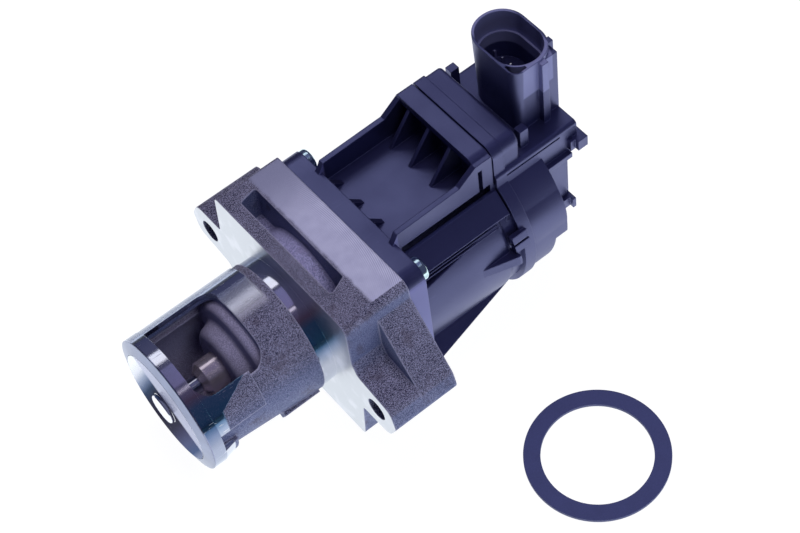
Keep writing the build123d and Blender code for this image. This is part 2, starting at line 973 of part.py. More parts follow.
with BuildPart() as output_gear:
    add(
        gear_blank(
            output_teeth, coarse_module, (0, 0), 0.0, output_gear_start, output_gear_width
        )
    )
    with BuildSketch(Plane.YZ.offset(hub_start)):
        Circle(hub_radius)
    extrude(amount=hub_end - hub_start)
    with BuildSketch(Plane.YZ.offset(hub_start)):
        Circle(sleeve_radius + running_gap)
    extrude(amount=hub_end - hub_start, mode=Mode.SUBTRACT)
    for slot_tool in slot_tools:
        add(slot_tool, mode=Mode.SUBTRACT)
save(output_gear.part, "output_gear")
save(ring(hub_end, hub_end + magnet_thickness, magnet_outer_radius, magnet_inner_radius), "sensor_magnet")
save(ring(washer_start, hub_start - thrust_gap, washer_radius, sleeve_radius + running_gap), "thrust_washer")

# Two-step intermediate gear on its axle
with BuildPart() as intermediate_gear:
    add(
        gear_blank(
            first_gear_teeth, fine_module, gear_centre, 0.0, first_gear_start, first_gear_width
        )
    )
    with BuildSketch(Plane.YZ.offset(gear_foot)):
        with Locations(gear_centre):
            Circle(collar_radius)
    extrude(amount=output_gear_start - loose_gap - gear_foot)
    add(
        gear_blank(
            second_gear_teeth,
            coarse_module,
            gear_centre,
            second_gear_phase,
            output_gear_start - loose_gap,
            second_gear_end - output_gear_start + loose_gap,
        )
    )
    with BuildSketch(Plane.YZ.offset(gear_foot)):
        with Locations(gear_centre):
            Circle(axle_radius + running_gap)
    extrude(amount=second_gear_end - gear_foot, mode=Mode.SUBTRACT)
save(intermediate_gear.part, "intermediate_gear")

with BuildPart() as gear_axle:
    with BuildSketch(Plane.YZ.offset(motor_end)):
        with Locations(gear_centre):
            Circle(axle_radius)
    extrude(amount=axle_end - motor_end)
save(gear_axle.part, "gear_axle")

# Motor pinion
with BuildPart() as motor_pinion:
    add(
        gear_blank(
            pinion_teeth, fine_module, motor_centre, pinion_phase, pinion_start, pinion_width
        )
    )
    with BuildSketch(Plane.YZ.offset(pinion_start)):
        with Locations(motor_centre):
            Circle(shaft_radius)
    extrude(amount=pinion_width, mode=Mode.SUBTRACT)
save(motor_pinion.part, "motor_pinion")

with BuildPart() as motor_shaft:
    with BuildSketch(Plane.YZ.offset(motor_start + thrust_gap + rear_bush_floor)):
        with Locations(motor_centre):
            Circle(shaft_radius)
    extrude(amount=pinion_start + pinion_width - motor_start - thrust_gap - rear_bush_floor)
save(motor_shaft.part, "motor_shaft")

# Motor can, open at the brush end
can_start = motor_start + end_cap_length
with BuildPart() as motor_can:
    with BuildSketch(Plane.YZ.offset(can_start)):
        with Locations(motor_centre):
            Circle(motor_radius)
    extrude(amount=motor_end - can_start)
    with BuildSketch(Plane.YZ.offset(can_start)):
        with Locations(motor_centre):
            Circle(motor_radius - motor_wall)
    extrude(amount=motor_end - motor_wall - can_start, mode=Mode.SUBTRACT)
    with BuildSketch(Plane.YZ.offset(motor_end - motor_wall)):
        with Locations(motor_centre):
            Circle(bush_outer_radius)
    extrude(amount=motor_wall, mode=Mode.SUBTRACT)
save(motor_can.part, "motor_can")
save(
    ring(
        motor_end - bush_length + motor_wall,
        motor_end + motor_wall,
        bush_outer_radius,
        shaft_radius + running_gap,
        motor_centre,
    ),
    "motor_front_bush",
)

# Two arc magnets in the can
with BuildPart() as motor_magnets:
    with BuildSketch(Plane.YZ.offset(magnet_start)):
        with Locations(motor_centre):
            Circle(motor_radius - motor_wall)
            Circle(magnet_bore_radius, mode=Mode.SUBTRACT)
            Rectangle(
                4 * motor_radius,
                2 * magnet_bore_radius * math.sin(math.radians((180 - magnet_arc) / 2)),
                mode=Mode.SUBTRACT,
            )
    extrude(amount=magnet_end - magnet_start)
save(motor_magnets.part, "motor_magnets")

# Motor end cap with the rear bush's pocket and two brush posts
spigot_radius = motor_radius - motor_wall
with BuildPart() as motor_end_cap:
    with BuildSketch(Plane.YZ.offset(motor_start)):
        with Locations(motor_centre):
            Circle(motor_radius)
    extrude(amount=end_cap_length)
    with BuildSketch(Plane.YZ.offset(can_start)):
        with Locations(motor_centre):
            Circle(spigot_radius)
            Circle(spigot_radius - end_cap_spigot_wall, mode=Mode.SUBTRACT)
    extrude(amount=end_cap_spigot)
    with BuildSketch(Plane.YZ.offset(can_start)):
        with Locations(motor_centre):
            with PolarLocations((commutator_radius + brush_reach) / 2 + brush_post_shift, 2):
                Rectangle(brush_length_along * 2, brush_width)
    extrude(amount=brush_post_length)
    with BuildSketch(Plane.YZ.offset(motor_start + rear_bush_floor)):
        with Locations(motor_centre):
            Circle(bush_outer_radius)
    extrude(amount=end_cap_length, mode=Mode.SUBTRACT)
save(motor_end_cap.part, "motor_end_cap")
save(
    ring(
        motor_start + rear_bush_floor,
        motor_start + rear_bush_floor + bush_length,
        bush_outer_radius,
        shaft_radius + running_gap,
        motor_centre,
    ),
    "motor_rear_bush",
)

with BuildPart() as motor_brushes:
    with BuildSketch(Plane.YZ.offset(can_start + brush_post_length)):
        with Locations(motor_centre):
            Rectangle(2 * brush_reach, brush_width)
            Circle(commutator_radius + running_gap, mode=Mode.SUBTRACT)
    extrude(amount=brush_length_along)
save(motor_brushes.part, "motor_brushes")

# Slotted armature core, its windings and the commutator, all on the motor shaft
with BuildPart() as armature_core:
    with BuildSketch(Plane.YZ.offset(armature_start)):
        with Locations(motor_centre):
            Circle(armature_radius)
            Circle(armature_radius - pole_tip_depth, mode=Mode.SUBTRACT)
            with PolarLocations(armature_radius, armature_poles, start_angle=180 / armature_poles):
                Rectangle(4 * pole_tip_depth, slot_mouth_width, mode=Mode.SUBTRACT)
            Circle(armature_hub_radius)
            with PolarLocations(armature_radius / 2, armature_poles):
                Rectangle(armature_radius - pole_tip_depth / 2, pole_neck_width)
            Circle(shaft_radius, mode=Mode.SUBTRACT)
    extrude(amount=armature_end - armature_start)
save(armature_core.part, "armature_core")

winding_radius = armature_radius - pole_tip_depth - winding_margin
with BuildPart() as armature_windings:
    with BuildSketch(Plane.YZ.offset(armature_start - winding_overhang)):
        with Locations(motor_centre):
            Circle(winding_radius)
            Circle(armature_hub_radius + winding_margin, mode=Mode.SUBTRACT)
            with PolarLocations(armature_radius / 2, armature_poles):
                Rectangle(
                    armature_radius + 4 * winding_margin,
                    pole_neck_width + 2 * winding_margin,
                    mode=Mode.SUBTRACT,
                )
    extrude(amount=armature_end - armature_start + 2 * winding_overhang)
    for start in (armature_start - winding_overhang, armature_end + winding_margin):
        with BuildSketch(Plane.YZ.offset(start)):
            with Locations(motor_centre):
                Circle(winding_radius)
                Circle(armature_hub_radius + winding_margin, mode=Mode.SUBTRACT)
        extrude(amount=winding_overhang - winding_margin)
save(armature_windings.part, "armature_windings")
save(
    ring(commutator_start, commutator_end, commutator_radius, shaft_radius, motor_centre),
    "commutator",
)

# Motor leads: two strips from the end cap to the sensor board
board_front = socket_x - pin_half_width - board_thickness
with BuildPart() as motor_leads:
    for height in lead_heights:
        with BuildSketch(Plane.XY.offset(height)):
            with BuildLine():
                Polyline(
                    (motor_start - lead_thickness, motor_centre[0] + 2 * lead_width),
                    (motor_start - lead_thickness, lead_offset),
                    (board_front, lead_offset),
                    (board_front, lead_offset - lead_thickness),
                    (motor_start, lead_offset - lead_thickness),
                    (motor_start, motor_centre[0] + 2 * lead_width),
                    close=True,
                )
            make_face()
        extrude(amount=lead_width)
save(motor_leads.part, "motor_leads")

# Bearing plate across the gear end of the body, held by three screws
plate_screw_places = [polar(plate_screw_radius_out, angle) for angle in plate_screw_angles]
plate_radius = cavity_radius - loose_gap
with BuildPart() as bearing_plate:
    with BuildSketch(Plane.YZ.offset(motor_end)):
        with Locations((0, -barrel_drop)):
            Circle(plate_radius)
        with Locations((0, cavity_top - loose_gap + barrel_radius)):
            Rectangle(4 * barrel_radius, 2 * barrel_radius, mode=Mode.SUBTRACT)
        Circle(sleeve_radius + seated_gap, mode=Mode.SUBTRACT)
        with Locations(motor_centre):
            Circle(bush_outer_radius + seated_gap, mode=Mode.SUBTRACT)
        with Locations(gear_centre):
            Circle(axle_radius, mode=Mode.SUBTRACT)
        with Locations(*plate_screw_places):
            Circle(plate_screw_radius + seated_gap, mode=Mode.SUBTRACT)
        for height in lead_heights:
            with Locations((lead_offset - lead_thickness / 2, height + lead_width / 2)):
                Rectangle(
                    lead_thickness + 2 * loose_gap,
                    lead_width + 2 * loose_gap,
                    mode=Mode.SUBTRACT,
                )
    extrude(amount=bearing_plate_thickness)
save(bearing_plate.part, "bearing_plate")

plate_face = motor_end + bearing_plate_thickness
with BuildPart() as plate_screws:
    with BuildSketch(Plane.YZ.offset(plate_face - plate_screw_length)):
        with Locations(*plate_screw_places):
            Circle(plate_screw_radius)
    extrude(amount=plate_screw_length)
    with BuildSketch(Plane.YZ.offset(plate_face)):
        with Locations(*plate_screw_places):
            Circle(plate_screw_head_radius)
    extrude(amount=plate_screw_head_height)
    chamfer(plate_screws.edges().filter_by(GeomType.CIRCLE).group_by(Axis.X)[-1], plate_screw_chamfer)
    with BuildSketch(Plane.YZ.offset(plate_face + plate_screw_head_height)):
        with Locations(*plate_screw_places):
            RegularPolygon(plate_screw_head_radius / 2, 6)
    extrude(amount=-plate_screw_head_height / 2, mode=Mode.SUBTRACT)
save(plate_screws.part, "plate_screws")

# Square seal between the casting and the actuator body
save(
    ring(
        casting_depth - seal_groove_depth,
        casting_depth,
        seal_groove_radius + seal_groove_width,
        seal_groove_radius,
    ),
    "housing_seal",
)

# Actuator body: screw plate, motor barrel, open label recess with side rails, seam rim
plate_back = casting_depth + plate_thickness
barrel_axis = Axis((0, 0, -barrel_drop), (1, 0, 0))
with BuildPart() as actuator_body:
    with BuildSketch(Plane.YZ.offset(plate_back)):
        with Locations((0, -barrel_drop)):
            Circle(barrel_radius)
    extrude(amount=barrel_end - plate_back)
    fillet(actuator_body.edges().group_by(Axis.X)[-1], barrel_round)
    with BuildSketch(Plane.YZ.offset(barrel_end - 2 * barrel_round)):
        with Locations((0, -barrel_drop)):
            Circle(neck_body_radius)
    extrude(amount=seam - barrel_end + 2 * barrel_round)
    for side in (-1, 1):
        shelf_side = upright(0) if side < 0 else upright(barrel_radius + blend_overlap)
        with BuildSketch(shelf_side):
            with BuildLine():
                Polyline(
                    (plate_back, shelf_start_height),
                    (seam, shelf_end_height),
                    (seam, 2 * barrel_radius),
                    (plate_back, 2 * barrel_radius),
                    close=True,
                )
            make_face()
        extrude(amount=barrel_radius + blend_overlap, mode=Mode.SUBTRACT)
    with BuildSketch(Plane.YZ.offset(casting_depth)):
        RectangleRounded(2 * plate_half_width, 2 * plate_half_height, plate_corner)
    extrude(amount=plate_thickness)
    with BuildSketch(upright(box_far_half)):
        with BuildLine():
            Polyline(
                (plate_back - blend_overlap, 0),
                (plate_back - blend_overlap, label_height),
                (seam, label_height),
                (seam, 0),
                close=True,
            )
        make_face()
    extrude(amount=box_far_half + box_half_width)
    for outer_side in (box_far_half, -box_half_width + box_wall):
        with BuildSketch(upright(outer_side)):
            with BuildLine():
                Polyline(
                    (plate_back - blend_overlap, 0),
                    (plate_back - blend_overlap, plate_half_height - root_overlap),
                    (plate_back, rail_low_height - rail_foot_drop),
                    (plate_back + root_overlap, rail_low_height),
                    (rail_step, rail_step_height),
                    (frame_front, frame_height - root_overlap),
                    (seam, frame_height - root_overlap),
                    (seam, 0),
                    close=True,
                )
            make_face()
        extrude(amount=box_wall)
    with BuildSketch(Plane.YZ.offset(frame_front)):
        add(box_outline(0))
        with Locations(((box_far_half - box_half_width) / 2, frame_height / 2 - frame_wall)):
            Rectangle(
                box_far_half + box_half_width - 2 * box_wall, frame_height, mode=Mode.SUBTRACT
            )
    extrude(amount=seam - frame_front)
    with BuildSketch(Plane.YZ.offset(seam - frame_wall)):
        with Locations((0, frame_height / 2)):
            Rectangle(2 * (box_half_width - root_overlap), frame_height - 2 * root_overlap)
    extrude(amount=frame_wall)
    for place in rib_places:
        with BuildSketch(upright(place + rib_thickness / 2)):
            with BuildLine():
                Polyline(
                    (rib_start, label_height - root_overlap),
                    (rib_start, label_height),
                    (frame_front + root_overlap, frame_height - frame_wall + root_overlap),
                    (seam - root_overlap, frame_height - frame_wall + root_overlap),
                    (seam - root_overlap, label_height - root_overlap),
                    close=True,
                )
            make_face()
        extrude(amount=rib_thickness)
    for place in gusset_places:
        with BuildSketch(upright(place + gusset_thickness / 2)):
            with BuildLine():
                Polyline(
                    (plate_back - root_overlap, label_height - root_overlap),
                    (plate_back - root_overlap, plate_half_height - gusset_drop),
                    (plate_back, plate_half_height - gusset_drop),
                    (plate_back + gusset_reach, label_height),
                    (plate_back + gusset_reach, label_height - root_overlap),
                    close=True,
                )
            make_face()
        extrude(amount=gusset_thickness)
    for brace in (brace_angle, -brace_angle):
        with BuildSketch(meridian(brace, barrel_drop).offset(-brace_thickness / 2)):
            with BuildLine():
                Polyline(
                    (plate_back - root_overlap, barrel_radius - root_overlap),
                    (plate_back - root_overlap, brace_reach),
                    (plate_back, brace_reach),
                    (brace_end, barrel_radius),
                    (brace_end, barrel_radius - root_overlap),
                    close=True,
                )
            make_face()
        extrude(amount=brace_thickness)
    for fin_side in (fin_angle, -fin_angle - fin_sweep):
        with BuildSketch(meridian(fin_side, barrel_drop)):
            with BuildLine():
                Polyline(
                    (fin_start, barrel_radius - root_overlap),
                    (fin_start, barrel_radius),
                    (fin_end, barrel_radius + fin_height),
                    (fin_end + root_overlap, barrel_radius + fin_height),
                    (fin_end + root_overlap, neck_body_radius - root_overlap),
                    close=True,
                )
            make_face()
        revolve(axis=barrel_axis, revolution_arc=fin_sweep)
    with BuildSketch(Plane.YZ.offset(seam - seam_groove_width)):
        add(box_outline(-root_overlap))
        with Locations(((box_far_half - box_half_width) / 2, (frame_height - seam_groove_depth) / 2)):
            RectangleRounded(
                box_far_half + box_half_width - 2 * seam_groove_depth,
                frame_height - seam_groove_depth,
                frame_corner - seam_groove_depth,
                mode=Mode.SUBTRACT,
            )
        with Locations((0, seam_groove_foot - frame_height / 2)):
            Rectangle(4 * barrel_radius, frame_height, mode=Mode.SUBTRACT)
    extrude(amount=seam_groove_width, mode=Mode.SUBTRACT)
    with Locations((side_notch_start, -box_half_width - root_overlap, side_notch_foot)):
        Box(
            side_notch_end - side_notch_start,
            box_wall + 2 * root_overlap,
            side_notch_top - side_notch_foot,
            align=(Align.MIN, Align.MIN, Align.MIN),
            mode=Mode.SUBTRACT,
        )
    for inner_side, outer_side in ((-slot_inner, -box_half_width), (slot_inner, box_far_half)):
        slot_width = outer_side - inner_side
        with BuildSketch(Plane.YZ.offset(slot_start)):
            with BuildLine():
                Polyline(
                    (inner_side, slot_floor),
                    (inner_side, slot_roof),
                    (inner_side + math.copysign(gusset_drop, slot_width), slot_roof),
                    (outer_side, slot_lip),
                    (outer_side + math.copysign(root_overlap, slot_width), slot_lip),
                    (outer_side + math.copysign(root_overlap, slot_width), slot_floor),
                    close=True,
                )
            make_face()
        extrude(amount=slot_end - slot_start, mode=Mode.SUBTRACT)
    for side in (-1, 1):
        with BuildSketch(Plane.YZ.offset(plate_back - root_overlap)):
            with BuildLine():
                Polyline(
                    (side * (side_wall_inner - side_wall_thickness), side_wall_top),
                    (side * side_wall_inner, side_wall_top),
                    (side * (side_wall_inner + side_wall_top - side_wall_foot), side_wall_foot),
                    (
                        side * (side_wall_inner + side_wall_top - side_wall_foot - side_wall_thickness),
                        side_wall_foot - side_wall_thickness / 4,
                    ),
                    close=True,
                )
            make_face()
        extrude(amount=side_wall_end - plate_back + root_overlap)
        with BuildSketch(Plane.YZ.offset(slot_end)):
            with BuildLine():
                Polyline(
                    (side * slot_inner, slot_floor),
                    (side * slot_inner, side_wall_top),
                    (side * side_wall_inner, side_wall_top),
                    (side * (side_wall_inner + side_wall_top - side_wall_foot), side_wall_foot),
                    (side * (side_wall_inner + side_wall_top - side_wall_foot), slot_floor),
                    close=True,
                )
            make_face()
        extrude(amount=side_wall_end - slot_end)
    with BuildSketch(Plane.YZ.offset(cavity_front)):
        with Locations((0, -barrel_drop)):
            Circle(cavity_radius)
        with Locations((0, cavity_top + barrel_radius)):
            Rectangle(4 * barrel_radius, 2 * barrel_radius, mode=Mode.SUBTRACT)
        Circle(core_boss_radius, mode=Mode.SUBTRACT)
        with Locations(*plate_screw_places):
            Circle(plate_boss_radius, mode=Mode.SUBTRACT)
    extrude(amount=motor_end - cavity_front, mode=Mode.SUBTRACT)
    with BuildSketch(Plane.YZ.offset(motor_end)):
        with Locations((0, -barrel_drop)):
            Circle(cavity_radius)
        with Locations((0, cavity_top + barrel_radius)):
            Rectangle(4 * barrel_radius, 2 * barrel_radius, mode=Mode.SUBTRACT)
    extrude(amount=seam - motor_end, mode=Mode.SUBTRACT)
    with BuildSketch(Plane.YZ.offset(cradle_start)):
        with Locations(motor_centre):
            Circle(cradle_radius)
    extrude(amount=motor_end - cradle_start)
    with BuildSketch(Plane.YZ.offset(cavity_front)):
        with Locations(motor_centre):
            Circle(motor_radius + running_gap)
    extrude(amount=motor_end - cavity_front, mode=Mode.SUBTRACT)
    with BuildSketch(Plane.YZ.offset(casting_depth)):
        Circle(coupler_bore_radius)
    extrude(amount=coupler_bore_end - casting_depth, mode=Mode.SUBTRACT)
    with BuildSketch(Plane.YZ.offset(coupler_bore_end)):
        Circle(rod_bore_radius)
    extrude(amount=sleeve_start - coupler_bore_end, mode=Mode.SUBTRACT)
    with BuildSketch(Plane.YZ.offset(sleeve_start)):
        Circle(sleeve_radius)
    extrude(amount=motor_end - sleeve_start, mode=Mode.SUBTRACT)
    with BuildSketch(Plane.YZ.offset(motor_end)):
        with Locations(*plate_screw_places):
            Circle(plate_screw_radius)
    extrude(amount=-plate_screw_length, mode=Mode.SUBTRACT)
    with BuildSketch(Plane.YZ.offset(casting_depth)):
        with GridLocations(2 * screw_y, 2 * screw_z, 2, 2):
            Circle(screw_radius + seated_gap)
    extrude(amount=plate_thickness, mode=Mode.SUBTRACT)
save(actuator_body.part, "actuator_body")

# Four pan-head screws that clamp the body to the casting
with BuildPart() as body_screws:
    with BuildSketch(Plane.YZ.offset(plate_back - screw_length)):
        with GridLocations(2 * screw_y, 2 * screw_z, 2, 2):
            Circle(screw_radius)
    extrude(amount=screw_length)
    with BuildSketch(Plane.YZ.offset(plate_back)):
        with GridLocations(2 * screw_y, 2 * screw_z, 2, 2):
            Circle(screw_head_radius)
    extrude(amount=screw_head_height)
    fillet(body_screws.edges().filter_by(GeomType.CIRCLE).group_by(Axis.X)[-1], screw_head_round)
    with BuildSketch(Plane.YZ.offset(plate_back + screw_head_height)):
        with GridLocations(2 * screw_y, 2 * screw_z, 2, 2):
            Rectangle(screw_recess_span, screw_recess_width)
            Rectangle(screw_recess_width, screw_recess_span)
    extrude(amount=-screw_recess_depth, mode=Mode.SUBTRACT)
save(body_screws.part, "body_screws")

# Seam seal in the cover's groove
save(
    ring(
        seam,
        seam + seam_seal_depth,
        seam_seal_radius + seam_seal_width,
        seam_seal_radius,
        (0, -barrel_drop),
    ),
    "cover_seal",
)

# Gear cover: drum over the gears, raised box, rear block for the board, connector shroud
wall_start = cap_end - cap_wall
lid_top = plateau_height - cover_wall
with BuildPart() as gear_cover:
    with BuildSketch(Plane.YZ.offset(cover_rim_end - blend_overlap)):
        with Locations((0, -barrel_drop)):
            Circle(cover_radius)
    extrude(amount=cover_end - cover_rim_end + blend_overlap)
    fillet(gear_cover.edges().group_by(Axis.X)[-1], cover_edge_round)
    with BuildSketch(Plane.YZ.offset(cover_rim_end - blend_overlap)):
        with Locations((0, -barrel_drop)):
            Circle(cover_radius)
        with Locations((-shoulder_side, shoulder_height), (shoulder_side, shoulder_height)):
            Circle(shoulder_radius)
        with Locations((0, cap_foot - barrel_radius)):
            Rectangle(4 * barrel_radius, 2 * barrel_radius, mode=Mode.SUBTRACT)
        with Locations((0, plateau_height + barrel_radius)):
            Rectangle(4 * barrel_radius, 2 * barrel_radius, mode=Mode.SUBTRACT)
    extrude(amount=cap_end - cover_rim_end + blend_overlap)
    with BuildSketch(Plane.YZ.offset(seam)):
        with Locations((0, -barrel_drop)):
            Circle(cover_rim_radius)
    extrude(amount=cover_rim_end - seam)
    with BuildSketch(Plane.YZ.offset(seam)):
        add(box_outline(0))
    extrude(amount=cover_rim_end - seam)
    with BuildSketch(Plane.YZ.offset(cover_rim_end)):
        add(box_outline(box_inset))
    extrude(amount=box_end - cover_rim_end)
    rear_edges = gear_cover.edges().filter_by_position(
        Axis.X, box_end - running_gap, box_end + running_gap
    )
    fillet(rear_edges.group_by(Axis.Z)[-1], box_edge_round)
    with BuildSketch(Plane.YZ.offset(seam)):
        with BuildLine():
            FilletPolyline(
                (-plateau_near, 0),
                (-plateau_near, plateau_height),
                (plateau_far, plateau_height),
                (plateau_far, 0),
                radius=[0, plateau_edge, plateau_edge, 0],
                close=True,
            )
        make_face()
    extrude(amount=cap_end - seam)
    with BuildSketch(Plane.YZ.offset(cap_end - blend_overlap)):
        with BuildLine():
            FilletPolyline(
                (-block_half_width, block_bottom),
                (-block_half_width, rail_low),
                (-plateau_near, rail_low),
                (-plateau_near, plateau_height),
                (plateau_far, plateau_height),
                (plateau_far, rail_low),
                (block_half_width, rail_low),
                (block_half_width, block_bottom),
                radius=[block_corner, 0, 0, plateau_edge, plateau_edge, 0, 0, block_corner],
                close=True,
            )
        make_face()
    extrude(amount=block_end - cap_end + blend_overlap)
    with BuildSketch(Plane.YZ.offset(block_end)):
        with BuildLine():
            FilletPolyline(
                (-plateau_near, lid_top),
                (-plateau_near, plateau_height),
                (plateau_far, plateau_height),
                (plateau_far, lid_top),
                radius=[0, plateau_edge, plateau_edge, 0],
                close=True,
            )
        make_face()
    extrude(amount=lid_thickness)
    with BuildSketch(Plane.XY.offset(plateau_height - blend_overlap)):
        with BuildLine():
            FilletPolyline(
                (socket_x - socket_base_width, socket_base_near),
                (socket_x + socket_base_width, socket_base_near),
                (socket_x + socket_base_width, socket_base_far),
                (socket_x - socket_base_width, socket_base_far),
                radius=[socket_near_corner, socket_round, socket_round, socket_round],
                close=True,
            )
        make_face()
    extrude(amount=socket_height - plateau_height + blend_overlap, taper=-socket_draft)
    for key_x, key_y, key_length, key_width, key_top in (
        (key_near_x, -key_near_reach, key_near_length, key_near_width, key_near_height),
        (key_far_x, -key_far_reach, key_far_length, key_far_width, key_height),
        (lug_x, -lug_reach, lug_length, lug_width, socket_height),
    ):
        with Locations((key_x, key_y, plateau_height - root_overlap)):
            Box(
                key_length,
                key_width,
                key_top - plateau_height + root_overlap,
                align=(Align.MIN, Align.MIN, Align.MIN),
            )
    socket_flare = (socket_height - plateau_height) * math.tan(math.radians(socket_draft))
    latch_side = socket_x - socket_base_width - socket_flare + latch_wall
    latch_near = socket_base_near - socket_flare + latch_wall
    with BuildSketch(Plane.XY.offset(socket_height)):
        with BuildLine():
            FilletPolyline(
                (latch_side, latch_near),
                (latch_side + latch_reach, latch_near),
                (latch_side + latch_reach, latch_near + latch_reach),
                (latch_side, latch_near + latch_reach),
                radius=[latch_corner, 0, 0, 0],
                close=True,
            )
        make_face()
        with Locations((socket_x, socket_y - socket_bore_length + socket_bore_width)):
            Circle(socket_bore_width + latch_wall, mode=Mode.SUBTRACT)
    extrude(amount=-latch_depth, mode=Mode.SUBTRACT)
    with BuildSketch(Plane.XY.offset(socket_height)):
        with Locations((socket_x, socket_y)):
            SlotOverall(2 * socket_bore_length, 2 * socket_bore_width, rotation=90)
    extrude(amount=-socket_ledge_depth, mode=Mode.SUBTRACT)
    with BuildSketch(Plane.XY.offset(socket_height)):
        with Locations((socket_x, socket_y)):
            SlotOverall(
                2 * (socket_bore_length - socket_ledge_width),
                2 * (socket_bore_width - socket_ledge_width),
                rotation=90,
            )
    extrude(amount=socket_floor - socket_height, mode=Mode.SUBTRACT)
    with Locations(
        (peg_x, peg_y, plateau_height - root_overlap),
        (peg_x, peg_far_y, plateau_height - root_overlap),
    ):
        Box(
            peg_length,
            peg_width,
            peg_height - plateau_height + root_overlap,
            align=(Align.MIN, Align.MIN, Align.MIN),
        )
    with Locations((rail_start, -plateau_near - rail_reach, rail_low)):
        Box(
            rail_end - rail_start,
            rail_reach + root_overlap,
            rail_high - rail_low,
            align=(Align.MIN, Align.MIN, Align.MIN),
        )
    with Locations(((cover_rim_end + groove_end) / 2, -plateau_near, groove_height)):
        Box(groove_end - cover_rim_end, 2 * groove_size, groove_size, mode=Mode.SUBTRACT)
    for hook_angle in hook_angles:
        with BuildSketch(meridian(hook_angle, barrel_drop)):
            with BuildLine():
                Polyline(
                    (seam, cover_rim_radius - root_overlap),
                    (seam, barrel_radius + loose_gap),
                    (hook_start, barrel_radius + loose_gap),
                    (hook_start, barrel_radius + hook_height),
                    (hook_end, barrel_radius + hook_height),
                    (hook_end, cover_rim_radius - root_overlap),
                    close=True,
                )
            make_face()
        revolve(axis=barrel_axis, revolution_arc=hook_sweep)
    with BuildSketch(Plane.YZ.offset(seam)):
        with Locations((0, -barrel_drop)):
            Circle(cavity_radius)
        with Locations(((plateau_far - plateau_near) / 2, lid_top / 2)):
            Rectangle(plateau_far + plateau_near - 2 * cover_wall, lid_top)
    extrude(amount=wall_start - seam, mode=Mode.SUBTRACT)
    with BuildSketch(Plane.YZ.offset(seam)):
        with Locations((0, (frame_height - cover_wall) / 2)):
            Rectangle(2 * (box_half_width - cover_wall), frame_height - cover_wall)
    extrude(amount=box_end - cover_wall - seam, mode=Mode.SUBTRACT)
    with BuildSketch(Plane.YZ.offset(seam)):
        with Locations((0, -barrel_drop)):
            Circle(seam_seal_radius + seam_seal_width)
            Circle(seam_seal_radius, mode=Mode.SUBTRACT)
    extrude(amount=seam_seal_depth, mode=Mode.SUBTRACT)
    with BuildSketch(Plane.YZ.offset(cap_end)):
        with Locations((0, (lid_top + block_bottom + cover_wall) / 2)):
            Rectangle(2 * (block_half_width - cover_wall), lid_top - block_bottom - cover_wall)
    extrude(amount=block_end - cap_end, mode=Mode.SUBTRACT)
    with BuildSketch(Plane.YZ.offset(wall_start)):
        with Locations(gear_centre):
            Circle(axle_boss_radius)
    extrude(amount=axle_boss_start - wall_start)
    with BuildSketch(Plane.YZ.offset(axle_boss_start)):
        with Locations(gear_centre):
            Circle(axle_radius)
    extrude(amount=axle_end - axle_boss_start, mode=Mode.SUBTRACT)
    with BuildSketch(Plane.YZ.offset(wall_start)):
        Circle(sleeve_radius)
    extrude(amount=sleeve_end - wall_start, mode=Mode.SUBTRACT)
    with BuildSketch(Plane.YZ.offset(wall_start)):
        for height in lead_heights:
            with Locations((lead_offset - lead_thickness / 2, height + lead_width / 2)):
                Rectangle(lead_thickness + 2 * loose_gap, lead_width + 2 * loose_gap)
    extrude(amount=cap_wall, mode=Mode.SUBTRACT)
    with BuildSketch(Plane.YZ.offset(cap_end)):
        with Locations(*board_posts):
            Circle(board_post_radius)
    extrude(amount=board_front - cap_end)
    with BuildSketch(Plane.XY.offset(lid_top)):
        with Locations((socket_x, socket_y)):
            with GridLocations(1, pin_pitch, 1, pin_count):
                Rectangle(2 * pin_half_width, 2 * pin_half_width)
    extrude(amount=socket_floor - lid_top, mode=Mode.SUBTRACT)
save(gear_cover.part, "gear_cover")

# Lid that closes the rear block, with two clips on each side
lid_half_width = block_half_width - lid_inset
with BuildPart() as rear_lid:
    with BuildSketch(Plane.YZ.offset(block_end)):
        with BuildLine():
            FilletPolyline(
                (-lid_half_width, block_bottom),
                (-lid_half_width, rail_low),
                (-plateau_near, rail_low),
                (-plateau_near, lid_top),
                (plateau_far, lid_top),
                (plateau_far, rail_low),
                (lid_half_width, rail_low),
                (lid_half_width, block_bottom),
                radius=[block_corner, 0, 0, 0, 0, 0, 0, block_corner],
                close=True,
            )
        make_face()
    extrude(amount=lid_thickness)
    for inner_side, outer_side, foot, back in (
        (-plateau_near, -plateau_near - clip_reach, upper_clip_foot, clip_back),
        (plateau_far, plateau_far + clip_reach, upper_clip_foot, clip_back),
        (-block_half_width, -block_half_width - clip_reach, lower_clip_foot, lower_clip_back),
        (block_half_width, block_half_width + clip_reach, lower_clip_foot, lower_clip_back),
    ):
        with Locations((back - clip_length / 2, (inner_side + outer_side) / 2, foot + clip_height / 2)):
            Box(clip_length, clip_reach, clip_height)
        with Locations(((block_end + back) / 2, inner_side, foot + clip_height / 2)):
            Box(back - block_end, 2 * (clip_reach + lid_inset), clip_height)
save(rear_lid.part, "rear_lid")

with BuildPart() as connector_pins:
    with BuildSketch(Plane.XY.offset(pin_bottom)):
        with Locations((socket_x, socket_y)):
            with GridLocations(1, pin_pitch, 1, pin_count):
                Rectangle(2 * pin_half_width, 2 * pin_half_width)
    extrude(amount=pin_top - pin_bottom)
    chamfer(connector_pins.edges().group_by(Axis.Z)[-1], pin_tip_chamfer)
save(connector_pins.part, "connector_pins")

with BuildPart() as sensor_board:
    with BuildSketch(Plane.YZ.offset(board_front)):
        with Locations((0, (board_top + board_bottom) / 2)):
            RectangleRounded(2 * board_half_width, board_top - board_bottom, board_corner)
    extrude(amount=board_thickness)
save(sensor_board.part, "sensor_board")

